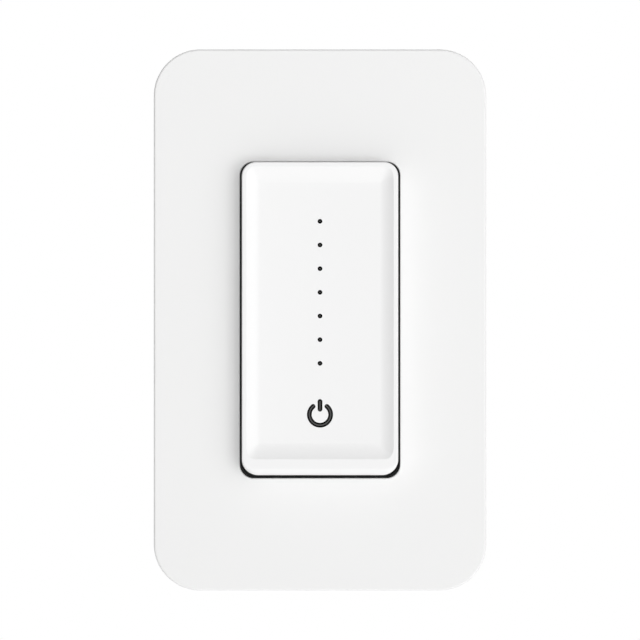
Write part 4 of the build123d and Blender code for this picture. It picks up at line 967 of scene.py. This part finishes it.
def make_floor():
    graph = material("pale_floor")
    x, y, _ = graph.axes()
    from_middle = (x * x + y * y) ** 0.5 / FLOOR_RADIUS
    far = from_middle.between(*FLOOR_FADE) * (1 - FLOOR_GLOW) + FLOOR_GLOW
    tones = [colour(tone, tone, tone) for tone in FLOOR_TONES]
    matt = graph.node("ShaderNodeBsdfDiffuse", inputs={"Color": graph.mix(graph.noise(FLOOR_GRAIN), *tones)})
    glow = graph.node("ShaderNodeEmission", inputs={"Color": colour(1, 1, 1), "Strength": 1.0})
    blend = graph.node("ShaderNodeMixShader", inputs={0: far, 1: matt, 2: glow})
    graph.node("ShaderNodeOutputMaterial", inputs={"Surface": blend})
    shape = Shape()
    shape.cap(shape.ring(circle(0, 0, FLOOR_RADIUS, FLOOR_STEPS), 0.0))
    mesh = bpy.data.meshes.new("floor")
    mesh.from_pydata([(x, z, FLOOR_Z) for x, y, z in shape.points], [], shape.faces)
    floor = bpy.data.objects.new("floor", mesh)
    floor.data.materials.append(graph.material)
    scene.collection.objects.link(floor)


def make_world():
    """White where the camera, a mirror or clear plastic looks, and soft light from the front elsewhere."""
    world = bpy.data.worlds.new("studio")
    world.use_nodes = True
    scene.world = world
    graph = Graph(world.node_tree)
    direction = graph.node("ShaderNodeTexCoord", output="Generated")
    strength = 0.0
    for towards, gain, power in SOFT_LIGHTS:
        aim = Vector(towards).normalized()
        product = {"operation": "DOT_PRODUCT"}
        facing = graph.node("ShaderNodeVectorMath", product, {0: direction, 1: aim}, output="Value")
        strength = facing.most(0) ** power * gain + strength
    split = graph.node("ShaderNodeSeparateXYZ", inputs={"Vector": direction})
    depth = abs(Wire(graph, split.socket.node.outputs["Y"]))
    strength = strength * depth.between(*FLAG_EDGE) + AMBIENT
    path = graph.node("ShaderNodeLightPath").socket.node
    seen = Wire(graph, path.outputs["Is Camera Ray"])
    for ray in ("Is Glossy Ray", "Is Transmission Ray"):
        seen = seen.most(Wire(graph, path.outputs[ray]))
    soft = graph.node("ShaderNodeBackground", inputs={"Color": colour(1, 1, 1), "Strength": strength})
    white = graph.node("ShaderNodeBackground", inputs={"Color": colour(1, 1, 1), "Strength": 1.0})
    blend = graph.node("ShaderNodeMixShader", inputs={0: seen, 1: soft, 2: white})
    graph.node("ShaderNodeOutputWorld", inputs={"Surface": blend})


def make_lamp(name, place, size, watts):
    """Square soft lamp that faces the object."""
    light = bpy.data.lights.new(name, "AREA")
    light.size = size
    light.energy = watts
    lamp = bpy.data.objects.new(name, light)
    lamp.location = place
    lamp.rotation_euler = (-Vector(place)).to_track_quat("-Z", "Y").to_euler()
    scene.collection.objects.link(lamp)


def make_camera():
    camera = bpy.data.cameras.new("camera")
    camera.sensor_width = SENSOR_WIDTH
    camera.lens = SENSOR_WIDTH * CAMERA_DISTANCE / VIEW_WIDTH
    holder = bpy.data.objects.new("camera", camera)
    holder.location = (0, cad_front - CAMERA_DISTANCE, 0)
    holder.rotation_euler = (math.pi / 2, 0, 0)
    scene.collection.objects.link(holder)
    scene.camera = holder


cad_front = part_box("wall_plate")[0].y
scene.view_settings.view_transform = "Standard"
slots = {part["node"]: part["material_slot"] for part in frame["record"]["subparts"]}
finishes = make_materials()
dress_solids()
make_wall_plate()
make_paddle()
# Painted shade in the gap round the paddle
make_painted_shade_lips()
make_screws()
make_return_spring()
make_choke_winding()
make_floor()
make_world()
make_lamp("key", KEY_PLACE, KEY_SIZE, KEY_POWER)
make_lamp("rear_fill", REAR_PLACE, REAR_SIZE, REAR_POWER)
make_camera()
